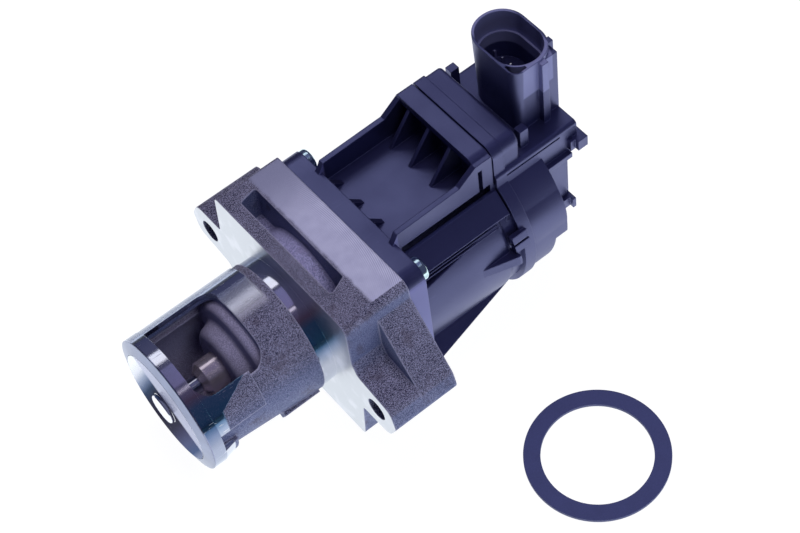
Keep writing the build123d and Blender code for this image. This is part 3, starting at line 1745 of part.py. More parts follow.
with BuildPart() as position_sensor:
    with BuildSketch(Plane.YZ.offset(board_front - chip_thickness)):
        Rectangle(chip_size, chip_size)
    extrude(amount=chip_thickness)
    chamfer(position_sensor.edges().group_by(Axis.X)[0], chip_chamfer)
save(position_sensor.part, "position_sensor")

# Loose flange gasket, lying beside the valve on the same surface
floor_height = -barrel_drop - cover_rim_radius
with BuildPart() as flange_gasket:
    with BuildSketch(Plane.XY.offset(floor_height)):
        with Locations((gasket_x, gasket_y)):
            Circle(gasket_outer_radius)
            Circle(gasket_inner_radius, mode=Mode.SUBTRACT)
    extrude(amount=gasket_thickness)
save(flange_gasket.part, "flange_gasket")
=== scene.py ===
import json
import math

import bpy
import numpy as np
from mathutils import Matrix, Vector


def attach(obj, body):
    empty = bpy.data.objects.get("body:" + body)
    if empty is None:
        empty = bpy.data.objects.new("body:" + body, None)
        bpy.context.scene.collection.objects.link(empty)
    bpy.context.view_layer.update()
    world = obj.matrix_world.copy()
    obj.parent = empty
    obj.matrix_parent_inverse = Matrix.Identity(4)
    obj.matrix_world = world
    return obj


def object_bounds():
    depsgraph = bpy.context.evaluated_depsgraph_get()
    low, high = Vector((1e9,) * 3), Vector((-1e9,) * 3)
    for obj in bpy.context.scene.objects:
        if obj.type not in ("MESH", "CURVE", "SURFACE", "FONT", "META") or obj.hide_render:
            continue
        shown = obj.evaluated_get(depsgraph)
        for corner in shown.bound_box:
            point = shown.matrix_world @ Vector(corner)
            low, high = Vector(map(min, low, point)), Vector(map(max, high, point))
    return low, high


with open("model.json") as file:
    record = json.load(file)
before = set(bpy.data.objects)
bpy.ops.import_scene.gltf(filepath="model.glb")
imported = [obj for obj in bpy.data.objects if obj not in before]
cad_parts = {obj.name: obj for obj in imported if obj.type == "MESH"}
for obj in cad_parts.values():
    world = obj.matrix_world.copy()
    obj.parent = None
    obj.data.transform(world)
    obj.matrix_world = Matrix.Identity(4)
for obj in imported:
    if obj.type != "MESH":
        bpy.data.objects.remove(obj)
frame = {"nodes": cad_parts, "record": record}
cad_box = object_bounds()

FLOAT = "NodeSocketFloat"
VECTOR = "NodeSocketVector"


def feed(tree, socket, value):
    """Links another node's output to an input, or sets the input to a plain value."""
    if isinstance(value, bpy.types.NodeSocket):
        tree.links.new(value, socket)
    else:
        socket.default_value = value


def add_node(tree, kind, values=None, **settings):
    """Adds a shader node, sets its properties and fills or links its inputs."""
    node = tree.nodes.new(kind)
    for key, value in settings.items():
        setattr(node, key, value)
    for key, value in (values or {}).items():
        feed(tree, node.inputs[key], value)
    return node


def maths(tree, operation, first, second=0.0, clamp=False):
    """One Math node's result."""
    node = add_node(tree, "ShaderNodeMath", {0: first, 1: second}, operation=operation, use_clamp=clamp)
    return node.outputs[0]


def combine(tree, operation, values):
    """Runs two or more numbers through one operation, from left to right."""
    result = values[0]
    for value in values[1:]:
        result = maths(tree, operation, result, value)
    return result


def total(tree, *values):
    """Sum of numbers."""
    return combine(tree, "ADD", values)


def product(tree, *values):
    """Product of numbers, or where masks overlap."""
    return combine(tree, "MULTIPLY", values)


def greatest(tree, *values):
    """Greatest of numbers, or masks joined."""
    return combine(tree, "MAXIMUM", values)


def minus(tree, first, second):
    """First number less the second."""
    return maths(tree, "SUBTRACT", first, second)


def scaled(tree, value, gain, lift=0.0):
    """Number times a gain, plus a lift."""
    return total(tree, product(tree, value, gain), lift)


def distance(tree, first, second):
    """Distance from zero of a point with these two coordinates."""
    return maths(tree, "SQRT", total(tree, product(tree, first, first), product(tree, second, second)))


def waves(tree, value, pitch):
    """Sine that repeats at each pitch, from -1 to 1."""
    return maths(tree, "SINE", product(tree, value, 2 * math.pi / pitch))


def rise(tree, value, low, high):
    """0 below low, 1 above high, smooth in between; low above high turns it round."""
    values = {"Value": value, "From Min": low, "From Max": high, "To Min": 0.0, "To Max": 1.0}
    return add_node(tree, "ShaderNodeMapRange", values, interpolation_type="SMOOTHSTEP").outputs["Result"]


def zone(tree, measures, tests):
    """Mask of a place: the product of its tests, each a measure's name and the values where it is 0 and 1."""
    return product(tree, *(rise(tree, measures[name], low, high) for name, low, high in tests))


def noise(tree, place, scale, detail, roughness=0.5, distortion=0.0):
    """Smooth noise about 0.5."""
    values = {
        "Vector": place,
        "Scale": scale,
        "Detail": detail,
        "Roughness": roughness,
        "Distortion": distortion,
    }
    return add_node(tree, "ShaderNodeTexNoise", values).outputs["Fac"]


def blend_value(tree, factor, first, second):
    """Mixes two numbers by a factor."""
    values = {"Factor": factor, 2: first, 3: second}
    return add_node(tree, "ShaderNodeMix", values, data_type="FLOAT").outputs[0]


def blend_colour(tree, factor, first, second, mode="MIX"):
    """Mixes two colours by a factor."""
    values = {"Factor": factor, 6: first, 7: second}
    return add_node(tree, "ShaderNodeMix", values, data_type="RGBA", blend_type=mode).outputs[2]


def layer(tree, base, colour, mask, amount=1.0, mode="MIX"):
    """Lays a colour over another one where the mask is, at most by the amount."""
    factor = mask if amount == 1.0 else product(tree, mask, amount)
    return blend_colour(tree, factor, base, colour, mode)


def colour_stops(tree, value, stops):
    """Colour that runs through stops, each a position from 0 to 1 and a colour."""
    ramp = add_node(tree, "ShaderNodeValToRGB", {"Fac": value})
    elements = ramp.color_ramp.elements
    while len(elements) < len(stops):
        elements.new(1.0)
    for element, (position, colour) in zip(elements, stops):
        element.position = position
        element.color = colour
    return ramp.outputs[0]


def grey_stops(tree, value, stops):
    """Number that runs through stops, each a position from 0 to 1 and a number."""
    return colour_stops(tree, value, [(position, (grey, grey, grey, 1)) for position, grey in stops])


def shade(colour, gain, lift=0.0):
    """Plain colour made paler or darker."""
    return tuple(min(1.0, c * gain + lift) for c in colour[:3]) + (1,)


def object_place(tree):
    """Place on the part in the shared frame, in metres."""
    return add_node(tree, "ShaderNodeTexCoord").outputs["Object"]


def split(tree, vector):
    """A vector's three numbers."""
    return add_node(tree, "ShaderNodeSeparateXYZ", {0: vector}).outputs


def facing_parts(tree):
    """The three numbers of the surface's true normal."""
    return split(tree, add_node(tree, "ShaderNodeNewGeometry").outputs["True Normal"])


def new_group(name, inputs, outputs):
    """Empty shader group with float inputs and named outputs; returns it with its two end nodes."""
    group = bpy.data.node_groups.new(name, "ShaderNodeTree")
    for label, value in inputs:
        socket = group.interface.new_socket(label, in_out="INPUT", socket_type=FLOAT)
        socket.default_value = value
    for label, kind in outputs:
        group.interface.new_socket(label, in_out="OUTPUT", socket_type=kind)
    start = group.nodes.new("NodeGroupInput")
    end = group.nodes.new("NodeGroupOutput")
    return group, start.outputs, end.inputs


def use_group(tree, group, **values):
    """Places a shared effect in a material with its own values."""
    return add_node(tree, "ShaderNodeGroup", values, node_tree=group).outputs


def build_blast_grain():
    """Sandblasted cast skin: fine pits and bright specks over slow cloudy shading."""
    grit_scale = 3600.0
    group, given, result = new_group("blast_grain", [("Contrast", 1.0)], [("Tone", FLOAT), ("Height", FLOAT)])
    place = object_place(group)
    grit = noise(group, place, scale=grit_scale, detail=2.0, roughness=0.6)
    clouds = noise(group, place, scale=90.0, detail=4.0, roughness=0.6)
    pits = add_node(group, "ShaderNodeTexVoronoi", {"Vector": place, "Scale": grit_scale * 0.6})
    speck = minus(group, rise(group, grit, 0.3, 0.72), 0.5)
    slow = product(group, minus(group, clouds, 0.5), 0.45)
    tone = product(group, total(group, speck, slow), given["Contrast"])
    feed(group, result["Tone"], maths(group, "ADD", tone, 0.5, clamp=True))
    feed(group, result["Height"], total(group, grit, product(group, pits.outputs["Distance"], 0.5)))
    return group


def build_edge_wear_and_highlight():
    """Rounded shading across edges, with a mask where the rounded normal leaves the flat one, used to paint edges
    paler as wear and painted highlight.
    """
    inputs = [("Radius", 0.0005), ("Gain", 6.0)]
    group, given, result = new_group("edge_wear_and_highlight", inputs, [("Mask", FLOAT), ("Normal", VECTOR)])
    rounded = add_node(group, "ShaderNodeBevel", {"Radius": given["Radius"]}, samples=6).outputs[0]
    flat = add_node(group, "ShaderNodeNewGeometry").outputs["True Normal"]
    match = add_node(group, "ShaderNodeVectorMath", {0: rounded, 1: flat}, operation="DOT_PRODUCT")
    gap = minus(group, 1.0, match.outputs["Value"])
    feed(group, result["Mask"], maths(group, "MULTIPLY", gap, given["Gain"], clamp=True))
    feed(group, result["Normal"], rounded)
    return group


def build_scuffs():
    """Short scratches and faint stains that machined and moulded faces pick up."""
    inputs = [("Size", 1.0), ("Amount", 0.5)]
    group, given, result = new_group("scuffs", inputs, [("Mask", FLOAT), ("Stain", FLOAT)])
    place = object_place(group)
    slant = {"Vector": place, "Rotation": (0.5, 0.9, 0.3), "Scale": (1.0, 9.0, 4.0)}
    stretched = add_node(group, "ShaderNodeMapping", slant).outputs[0]
    line_scale = product(group, given["Size"], 160.0)
    lines = noise(group, stretched, scale=line_scale, detail=5.0, distortion=0.4)
    patch = noise(group, place, scale=120.0, detail=3.0)
    thin = product(group, rise(group, lines, 0.62, 0.7), rise(group, patch, 0.45, 0.62))
    feed(group, result["Mask"], maths(group, "MULTIPLY", thin, given["Amount"], clamp=True))
    feed(group, result["Stain"], patch)
    return group


BLAST_GRAIN = build_blast_grain()
EDGE_WEAR_AND_HIGHLIGHT = build_edge_wear_and_highlight()
SCUFFS = build_scuffs()


def new_material(name, **shader_values):
    """Material with a Principled shader; the values are set on its own sockets."""
    material = bpy.data.materials.new(name)
    material.use_nodes = True
    tree = material.node_tree
    shader = tree.nodes["Principled BSDF"]
    for key, value in shader_values.items():
        shader.inputs[key.replace("_", " ")].default_value = value
    return material, tree, shader


def bump(tree, shader, height, strength, reach, normal):
    """Feeds a height through a Bump node, on top of a normal, to the shader's normal; reach is in metres."""
    values = {"Height": height, "Strength": strength, "Distance": reach, "Normal": normal}
    feed(tree, shader.inputs["Normal"], add_node(tree, "ShaderNodeBump", values).outputs[0])


# Places on the casting. Each test names a measure, then the values where its mask is 0 and where it is full:
# metres for x, y, z and radius, rough_x being x with a wavering edge; radians round the axis from +Z towards
# -Y for turn; and the normal's own part along an axis for facing_x and facing_z.
CAST_ZONES = {
    "face": (("facing_x", -0.9, -0.97), ("x", 0.001, 0.0006), ("x", -0.002, -0.001)),
    "land": (("radius", 0.02448, 0.02456), ("rough_x", -0.0072, -0.0082)),
    "skirt": (("radius", 0.0228, 0.0232), ("x", -0.0392, -0.0394)),
    "far_patch": (("turn", 0.24, 0.04), ("rough_x", -0.0075, -0.0088), ("radius", 0.0225, 0.023)),
    "neck": (
        ("x", -0.00525, -0.00515),
        ("x", 0.0004, 0.0002),
        ("radius", 0.0243, 0.0242),
        ("radius", 0.0232, 0.0234),
    ),
    "mouth": (("x", -0.0444, -0.0446),),
    "mouth_end_painted_shade": (("x", -0.0492, -0.0495),),
    "milled": (("facing_z", 0.93, 0.98), ("z", 0.0314, 0.0316), ("rough_x", 0.0122, 0.0138)),
    "milled_far": (("y", 0.004, 0.03),),
    "bore_painted_light": (("x", -0.0192, -0.0196), ("radius", 0.0217, 0.0214)),
    "side": (("facing_z", 0.55, 0.1),),
    "top": (("facing_z", 0.6, 0.95),),
    "pocket": (
        ("z", 0.0305, 0.029),
        ("z", 0.012, 0.013),
        ("facing_z", 0.2, 0.6),
        ("x", 0.0016, 0.0022),
        ("y", -0.0225, -0.0215),
    ),
}
CAST_COLOURS = {
    "skin_dark": (0.03, 0.028, 0.05, 1),
    "skin_pale": (0.36, 0.345, 0.47, 1),
    # painted light: bluer tint for upright sides
    "side": (0.14, 0.19, 0.38, 1),
    "stain": (0.075, 0.052, 0.07, 1),
    # painted light inside the bore
    "bore_painted_light": (0.5, 0.45, 0.62, 1),
    # painted light added on the pocket floor
    "pocket": (0.17, 0.16, 0.29, 1),
    # paler edges: partly wear, partly painted highlight
    "worn_and_highlight": (0.66, 0.64, 0.82, 1),
    "mill_dark": (0.44, 0.43, 0.6, 1),
    "mill_pale": (0.86, 0.85, 1.0, 1),
    "mill_far": (0.3, 0.3, 0.42, 1),
    # painted shade on the mouth ring's lower side
    "ring_painted_shade": (0.56, 0.6, 0.7, 1),
    "face": (0.6, 0.61, 0.64, 1),
    # painted shade on the mouth's end face
    "mouth_end_painted_shade": (0.3, 0.32, 0.45, 1),
    "fleck": (0.9, 0.9, 0.95, 1),
    "scratch": (0.78, 0.78, 0.84, 1),
    "face_stain": (0.7, 0.7, 0.74, 1),
    "gloss_skin": (0.7, 0.72, 1.0, 1),
    "gloss_turned": (0.96, 0.98, 1.0, 1),
}
# Painted reflections on the turned lands: tints round the axis, position 0.4 times the turn in radians, plus 0.4.
LATHE_PAINTED_REFLECTIONS = (
    (0.0, (0.08, 0.09, 0.15, 1)),
    (0.14, (0.1, 0.12, 0.22, 1)),
    (0.17, (0.45, 0.52, 0.7, 1)),
    (0.3, (0.8, 0.84, 0.95, 1)),
    (0.4, (0.76, 0.76, 0.8, 1)),
    (0.47, (0.95, 0.92, 1.0, 1)),
    (0.6, (0.98, 0.86, 0.95, 1)),
    (0.66, (0.6, 0.4, 0.45, 1)),
    (0.71, (0.2, 0.4, 0.55, 1)),
    (0.8, (0.12, 0.36, 0.5, 1)),
    (0.85, (0.08, 0.17, 0.3, 1)),
    (0.9, (0.33, 0.39, 0.53, 1)),
    (0.96, (0.54, 0.56, 0.64, 1)),
    (1.0, (0.64, 0.65, 0.72, 1)),
)
# The land's edge towards the flange slants round the tube: its x falls by the slope for each radian of turn,
# down to its lowest x.
LAND_EDGE_START = 0.0078
LAND_EDGE_SLOPE = 0.0472
LAND_EDGE_LOWEST = -0.0409
LAND_EDGE_BLUR = 0.0003
# How far the noise moves the machined places' edges, and the cutter marks: arcs about a point on the axis.
EDGE_WAVER = 0.0016
MILL_CENTRE_X = -0.052
MILL_PITCH = 0.00062
LATHE_PITCH = 0.00022


def cast_masks(tree, measures):
    """Masks of the casting's places, with the land cut off at its slanted edge and joined to the far patch."""
    masks = {name: zone(tree, measures, tests) for name, tests in CAST_ZONES.items()}
    slanted = minus(tree, LAND_EDGE_START, product(tree, measures["turn"], LAND_EDGE_SLOPE))
    past_edge = minus(tree, measures["rough_x"], greatest(tree, slanted, LAND_EDGE_LOWEST))
    inside_edge = rise(tree, past_edge, LAND_EDGE_BLUR, -LAND_EDGE_BLUR)
    cut_land = product(tree, greatest(tree, masks["land"], masks["skirt"]), inside_edge)
    masks["land"] = greatest(tree, cut_land, product(tree, masks["far_patch"], 0.7))
    masks["turned"] = greatest(tree, masks["land"], masks["neck"], masks["mouth"], masks["face"])
    return masks


def cast_skin(tree, place, masks, grain, edge):
    """Colour of the blasted skin: bluer on upright sides as painted light, stained in patches, lighter in the bore
    and the pocket as painted light, paler on edges as wear and painted highlight.
    """
    skin_tone = blend_colour(tree, grain["Tone"], CAST_COLOURS["skin_dark"], CAST_COLOURS["skin_pale"])
    # Painted light: upright sides take a bluer tint, as if lit from the side.
    skin_tone = layer(tree, skin_tone, CAST_COLOURS["side"], masks["side"], amount=0.45)
    stained = rise(tree, noise(tree, place, scale=95.0, detail=5.0, roughness=0.65), 0.54, 0.68)
    skin_tone = layer(tree, skin_tone, CAST_COLOURS["stain"], stained, amount=0.5)
    # Painted light: the bore is made lighter.
    skin_tone = layer(tree, skin_tone, CAST_COLOURS["bore_painted_light"], masks["bore_painted_light"], amount=0.45)
    # Painted light: the pocket floor is lightened.
    skin_tone = layer(tree, skin_tone, CAST_COLOURS["pocket"], masks["pocket"], mode="ADD")
    # Paler edges: partly wear, partly painted highlight.
    return layer(tree, skin_tone, CAST_COLOURS["worn_and_highlight"], edge["Mask"], amount=0.7)


def cast_turned(tree, measures, masks, turn, grain, scuff):
    """Colour of the turned and faced metal: painted reflections as lathe tints round the axis, a painted shade on
    the mouth ring's lower side and on the mouth's end face, with flecks, scratches and stains.
    """
    # Painted reflections: tints that change with the turn round the axis.
    painted_reflection_tints = colour_stops(tree, scaled(tree, turn, 0.4, lift=0.4), LATHE_PAINTED_REFLECTIONS)
    # Painted shade: the mouth ring is darkened beyond about 55 degrees of turn.
    painted_ring_shade = product(tree, rise(tree, measures["x"], -0.0446, -0.0451), rise(tree, turn, 0.95, 1.15))
    metal = layer(tree, painted_reflection_tints, CAST_COLOURS["ring_painted_shade"], painted_ring_shade, mode="MULTIPLY")
    metal = layer(tree, metal, CAST_COLOURS["face"], masks["face"])
    # Painted shade: the mouth's end face is darkened.
    metal = layer(tree, metal, CAST_COLOURS["mouth_end_painted_shade"], masks["mouth_end_painted_shade"])
    flecks = product(tree, rise(tree, grain["Tone"], 0.9, 0.98), masks["land"], rise(tree, turn, 1.1, 1.0))
    metal = layer(tree, metal, CAST_COLOURS["fleck"], flecks, amount=0.4)
    metal = layer(tree, metal, CAST_COLOURS["scratch"], scuff["Mask"])
    stained = product(tree, masks["face"], rise(tree, scuff["Stain"], 0.5, 0.7))
    return layer(tree, metal, CAST_COLOURS["face_stain"], stained)


def cast_material():
    """Cast alloy: blasted skin, with the turned tube bands, the machined flange face and the milled band on top."""
    material, tree, shader = new_material("cast_alloy", Specular_IOR_Level=0.5)
    place = object_place(tree)
    x, y, z = split(tree, place)
    facing = facing_parts(tree)
    waver = noise(tree, place, scale=260.0, detail=2.0)
    shift = product(tree, minus(tree, waver, 0.5), EDGE_WAVER)
    turn = maths(tree, "ARCTAN2", product(tree, y, -1.0), z)
    measures = {
        "x": x,
        "y": y,
        "z": z,
        "rough_x": total(tree, x, shift),
        "radius": distance(tree, y, z),
        "turn": turn,
        "facing_x": facing[0],
        "facing_z": facing[2],
    }
    masks = cast_masks(tree, measures)
    turned, milled = masks["turned"], masks["milled"]
    grain = use_group(tree, BLAST_GRAIN, Contrast=blend_value(tree, masks["top"], 1.7, 2.9))
    scuff = use_group(tree, SCUFFS, Size=1.6, Amount=1.0)
    edge = use_group(tree, EDGE_WEAR_AND_HIGHLIGHT, Radius=blend_value(tree, turned, 0.0011, 0.00015), Gain=4.0)

    clear = rise(tree, total(tree, x, product(tree, shift, 1.4)), 0.0195, 0.0235)
    arcs = waves(tree, distance(tree, minus(tree, x, MILL_CENTRE_X), y), MILL_PITCH)
    arcs = product(tree, arcs, scaled(tree, clear, 0.75, lift=0.1))
    arc_tone = total(tree, product(tree, arcs, 0.4), scaled(tree, waver, 0.5, lift=0.1))
    mill_tone = blend_colour(tree, arc_tone, CAST_COLOURS["mill_dark"], CAST_COLOURS["mill_pale"])
    mill_tone = layer(tree, mill_tone, CAST_COLOURS["mill_far"], masks["milled_far"])

    colour = layer(tree, cast_skin(tree, place, masks, grain, edge), mill_tone, milled, amount=0.92)
    wavering_turn = total(tree, turn, product(tree, minus(tree, waver, 0.5), 0.05))
    metal = cast_turned(tree, measures, masks, wavering_turn, grain, scuff)
    feed(tree, shader.inputs["Base Color"], layer(tree, colour, metal, turned))
    feed(tree, shader.inputs["Metallic"], blend_value(tree, turned, 0.12, 1.0))
    gloss = blend_colour(tree, turned, CAST_COLOURS["gloss_skin"], CAST_COLOURS["gloss_turned"])
    feed(tree, shader.inputs["Specular Tint"], gloss)
    rough = blend_value(tree, milled, blend_value(tree, grain["Tone"], 0.66, 0.5), 0.4)
    shiny = blend_value(tree, scuff["Mask"], blend_value(tree, masks["face"], 0.1, 0.3), 0.4)
    feed(tree, shader.inputs["Roughness"], blend_value(tree, turned, rough, shiny))

    plain = minus(tree, 1.0, greatest(tree, turned, product(tree, milled, 0.7)))
    grit_height = product(tree, grain["Height"], plain)
    lathe_height = product(tree, waves(tree, x, LATHE_PITCH), 0.02, greatest(tree, masks["land"], masks["mouth"]))
    height = total(tree, grit_height, lathe_height, product(tree, arcs, milled, 0.12))
    bump(tree, shader, height, strength=0.55, reach=0.00012, normal=edge["Normal"])
    return material


# Painted light on the plastic's near wall and in the connector's oval well: where it goes, and its colours.
NEAR_WALL_PAINTED_LIGHT = (("facing_y", -0.9, -0.99), ("x", 0.0336, 0.0328))
NEAR_WALL_PAINTED_LIGHT_COLOUR = (0.15, 0.14, 0.32, 1)
WELL_CENTRE = (0.0992, 0.0016)
WELL_HALF_SIZE = (0.0078, 0.0172)
WELL_PAINTED_LIGHT = (("well", 1.35, 1.2), ("z", 0.045, 0.046))
WELL_PAINTED_LIGHT_COLOUR = (0.3, 0.3, 0.5, 1)


def plastic_material(name, colour, roughness, wear_and_highlight=0.55, socket=0.0):
    """Moulded glass-filled plastic: fine grain, paler on edges as wear and painted highlight, painted light on the
    near wall, faint cloudy gloss; socket is how much painted light makes the oval well of the connector paler."""
    gloss_tint = (0.5, 0.53, 1.0, 1)
    material, tree, shader = new_material(name, IOR=2.2, Specular_IOR_Level=0.78, Specular_Tint=gloss_tint)
    place = object_place(tree)
    x, y, z = split(tree, place)
    edge = use_group(tree, EDGE_WEAR_AND_HIGHLIGHT, Radius=0.0005, Gain=4.5)
    scuff = use_group(tree, SCUFFS, Size=0.8, Amount=0.35)
    fine = noise(tree, place, scale=3200.0, detail=2.0)
    slow = noise(tree, place, scale=55.0, detail=3.0)
    out_x, out_y = (
        maths(tree, "DIVIDE", minus(tree, value, centre), half)
        for value, centre, half in zip((x, y), WELL_CENTRE, WELL_HALF_SIZE)
    )
    well = total(tree, product(tree, out_x, out_x), product(tree, out_y, out_y))
    measures = {"x": x, "z": z, "facing_y": facing_parts(tree)[1], "well": well}
    tone = blend_colour(tree, slow, shade(colour, 0.8), shade(colour, 1.25))
    # Painted light: the near wall is made paler.
    tone = layer(tree, tone, NEAR_WALL_PAINTED_LIGHT_COLOUR, zone(tree, measures, NEAR_WALL_PAINTED_LIGHT), amount=0.8)
    # Painted light: the connector's oval well is made paler.
    tone = layer(tree, tone, WELL_PAINTED_LIGHT_COLOUR, zone(tree, measures, WELL_PAINTED_LIGHT), amount=socket)
    edge_wear_and_highlight_tone = shade(colour, 3.2, lift=0.03)
    # Paler edges: partly wear, partly painted highlight.
    tone = layer(tree, tone, edge_wear_and_highlight_tone, edge["Mask"], amount=wear_and_highlight)
    tone = layer(tree, tone, edge_wear_and_highlight_tone, scuff["Mask"], amount=0.5)
    feed(tree, shader.inputs["Base Color"], tone)
    gloss = scaled(tree, minus(tree, slow, 0.5), 0.25, lift=roughness)
    feed(tree, shader.inputs["Roughness"], gloss)
    bump(tree, shader, fine, strength=0.22, reach=0.00006, normal=edge["Normal"])
    return material


# The valve head's painted reflection: tints and shine along the sweep, position 0.5 on the axis, 1 at 20 mm from
# it. The two directions are parts along Y and Z.
HEAD_PAINTED_REFLECTION_TINTS = (
    (0.06, (0.8, 0.84, 0.88, 1)),
    (0.14, (0.68, 0.7, 0.8, 1)),
    (0.205, (0.26, 0.34, 0.54, 1)),
    (0.26, (0.1, 0.17, 0.34, 1)),
    (0.305, (0.03, 0.07, 0.16, 1)),
    (0.39, (0.03, 0.03, 0.075, 1)),
    (0.52, (0.028, 0.022, 0.055, 1)),
    (0.67, (0.045, 0.045, 0.09, 1)),
    (0.735, (0.07, 0.07, 0.16, 1)),
    (0.84, (0.09, 0.11, 0.27, 1)),
    (0.93, (0.06, 0.12, 0.3, 1)),
    (0.98, (0.2, 0.25, 0.44, 1)),
)
HEAD_PAINTED_REFLECTION_SHINE = (
    (0.06, 0.95),
    (0.14, 0.8),
    (0.205, 0.42),
    (0.26, 0.18),
    (0.305, 0.06),
    (0.52, 0.02),
    (0.735, 0.06),
    (0.84, 0.12),
    (0.93, 0.12),
    (0.98, 0.3),
)
HEAD_SWEEP = (-0.868, -0.496)
HEAD_BESIDE = (0.496, -0.868)
HEAD_FACE = (("facing_x", -0.6, -0.8), ("radius", 0.0054, 0.0058))
HEAD_PAINTED_LIGHT_COLOUR = (0.55, 0.57, 0.78, 1)
HEAD_RIM_COLOUR = (0.8, 0.8, 0.86, 1)
HEAD_RING_PITCH = 0.00025


def valve_head_material():
    """Turned valve head with a painted reflection: a bright crescent that falls off through teal and dark violet to
    blue across the face, and a painted paler side.
    """
    material, tree, shader = new_material("valve_head", Metallic=1.0)
    y, z = split(tree, object_place(tree))[1:]
    radius = distance(tree, y, z)
    edge = use_group(tree, EDGE_WEAR_AND_HIGHLIGHT, Radius=0.0002, Gain=3.0)
    scuff = use_group(tree, SCUFFS, Size=2.0, Amount=0.6)
    across, beside = (
        total(tree, product(tree, y, part_y), product(tree, z, part_z))
        for part_y, part_z in (HEAD_SWEEP, HEAD_BESIDE)
    )
    along = scaled(tree, across, 25.0, lift=0.5)
    # Painted light: one side of the head is made paler.
    painted_light_side = product(tree, rise(tree, beside, -0.006, -0.0085), 0.85)
    # Painted reflection: the colour runs along the sweep across the face.
    painted_reflection_sweep = layer(tree, colour_stops(tree, along, HEAD_PAINTED_REFLECTION_TINTS), HEAD_PAINTED_LIGHT_COLOUR, painted_light_side)
    face = zone(tree, {"facing_x": facing_parts(tree)[0], "radius": radius}, HEAD_FACE)
    tone = blend_colour(tree, face, HEAD_RIM_COLOUR, painted_reflection_sweep)
    tone = layer(tree, tone, CAST_COLOURS["face_stain"], scuff["Mask"], amount=0.5)
    feed(tree, shader.inputs["Base Color"], tone)
    shine = blend_value(tree, face, 1.0, blend_value(tree, painted_light_side, grey_stops(tree, along, HEAD_PAINTED_REFLECTION_SHINE), 0.62))
    matt = add_node(tree, "ShaderNodeBsdfDiffuse", {"Color": tone})
    mixed = add_node(tree, "ShaderNodeMixShader", {0: shine, 1: matt.outputs[0], 2: shader.outputs[0]})
    feed(tree, tree.nodes["Material Output"].inputs["Surface"], mixed.outputs[0])
    feed(tree, shader.inputs["Roughness"], blend_value(tree, scuff["Mask"], 0.14, 0.35))
    bump(tree, shader, waves(tree, radius, HEAD_RING_PITCH), strength=0.12, reach=0.00002, normal=edge["Normal"])
    return material


def metal_material(name, colour, roughness, axis=0, wear_and_highlight=0.4, metallic=1.0):
    """Turned or drawn metal with fine tool lines, 0.25 mm apart along one axis."""
    line_pitch = 0.00025
    worn_and_highlight_colour = (0.9, 0.9, 0.95, 1)
    material, tree, shader = new_material(name, Metallic=metallic)
    edge = use_group(tree, EDGE_WEAR_AND_HIGHLIGHT, Radius=0.0003, Gain=4.0)
    scuff = use_group(tree, SCUFFS, Size=1.5, Amount=0.5)
    tone = blend_colour(tree, scuff["Stain"], shade(colour, 0.7), shade(colour, 1.3))
    # Paler edges: partly wear, partly painted highlight.
    tone = layer(tree, tone, worn_and_highlight_colour, edge["Mask"], amount=wear_and_highlight)
    feed(tree, shader.inputs["Base Color"], tone)
    dull = min(1.0, roughness + 0.2)
    feed(tree, shader.inputs["Roughness"], blend_value(tree, scuff["Mask"], roughness, dull))
    lines = waves(tree, split(tree, object_place(tree))[axis], line_pitch)
    bump(tree, shader, lines, strength=0.15, reach=0.00002, normal=edge["Normal"])
    return material


def soft_material(name, colour, roughness):
    """Plain fine-grained finish for rubber, ferrite, coating or board."""
    material, tree, shader = new_material(name, Metallic=0.0)
    place = object_place(tree)
    edge = use_group(tree, EDGE_WEAR_AND_HIGHLIGHT, Radius=0.0003, Gain=3.0)
    fine = noise(tree, place, scale=2400.0, detail=3.0)
    slow = noise(tree, place, scale=140.0, detail=4.0)
    cloudy = total(tree, product(tree, fine, 0.5), product(tree, slow, 0.5))
    tone = blend_colour(tree, cloudy, shade(colour, 0.75), shade(colour, 1.3))
    # Paler edges: partly wear, partly painted highlight.
    tone = layer(tree, tone, shade(colour, 2.2, lift=0.05), edge["Mask"], amount=0.35)
    feed(tree, shader.inputs["Base Color"], tone)
    feed(tree, shader.inputs["Roughness"], scaled(tree, slow, 0.2, lift=roughness - 0.1))
    bump(tree, shader, fine, strength=0.25, reach=0.00005, normal=edge["Normal"])
    return material


FINISH = {
    "cast_alloy": cast_material(),
    "machined_steel": metal_material("machined_steel", (0.6, 0.6, 0.66, 1), 0.16),
    "spring_steel": metal_material("spring_steel", (0.3, 0.3, 0.33, 1), 0.3),
    "plated_steel": metal_material("plated_steel", (0.6, 0.78, 0.9, 1), 0.1),
    "bronze": metal_material("bronze", (0.62, 0.54, 0.58, 1), 0.2),
    "copper": metal_material("copper", (0.7, 0.36, 0.2, 1), 0.3),
    "pin_metal": metal_material("pin_metal", (0.86, 0.84, 0.8, 1), 0.18, axis=2),
    "dark_plastic": plastic_material("dark_plastic", (0.012, 0.012, 0.034, 1), 0.38),
    "gear_plastic": plastic_material("gear_plastic", (0.62, 0.58, 0.48, 1), 0.45, wear_and_highlight=0.1),
    "magnet": soft_material("magnet", (0.06, 0.06, 0.065, 1), 0.6),
    "carbon": soft_material("carbon", (0.03, 0.03, 0.03, 1), 0.5),
    "board": soft_material("board", (0.03, 0.14, 0.07, 1), 0.35),
    "seal_rubber": soft_material("seal_rubber", (0.02, 0.02, 0.02, 1), 0.6),
    "gasket_coated": soft_material("gasket_coated", (0.07, 0.078, 0.19, 1), 0.6),
}
COVER_PLASTIC = plastic_material("cover_plastic", (0.015, 0.015, 0.042, 1), 0.42, socket=0.6)
CONE_METAL = metal_material("cone_metal", (0.27, 0.3, 0.42, 1), 0.3, wear_and_highlight=0.2)
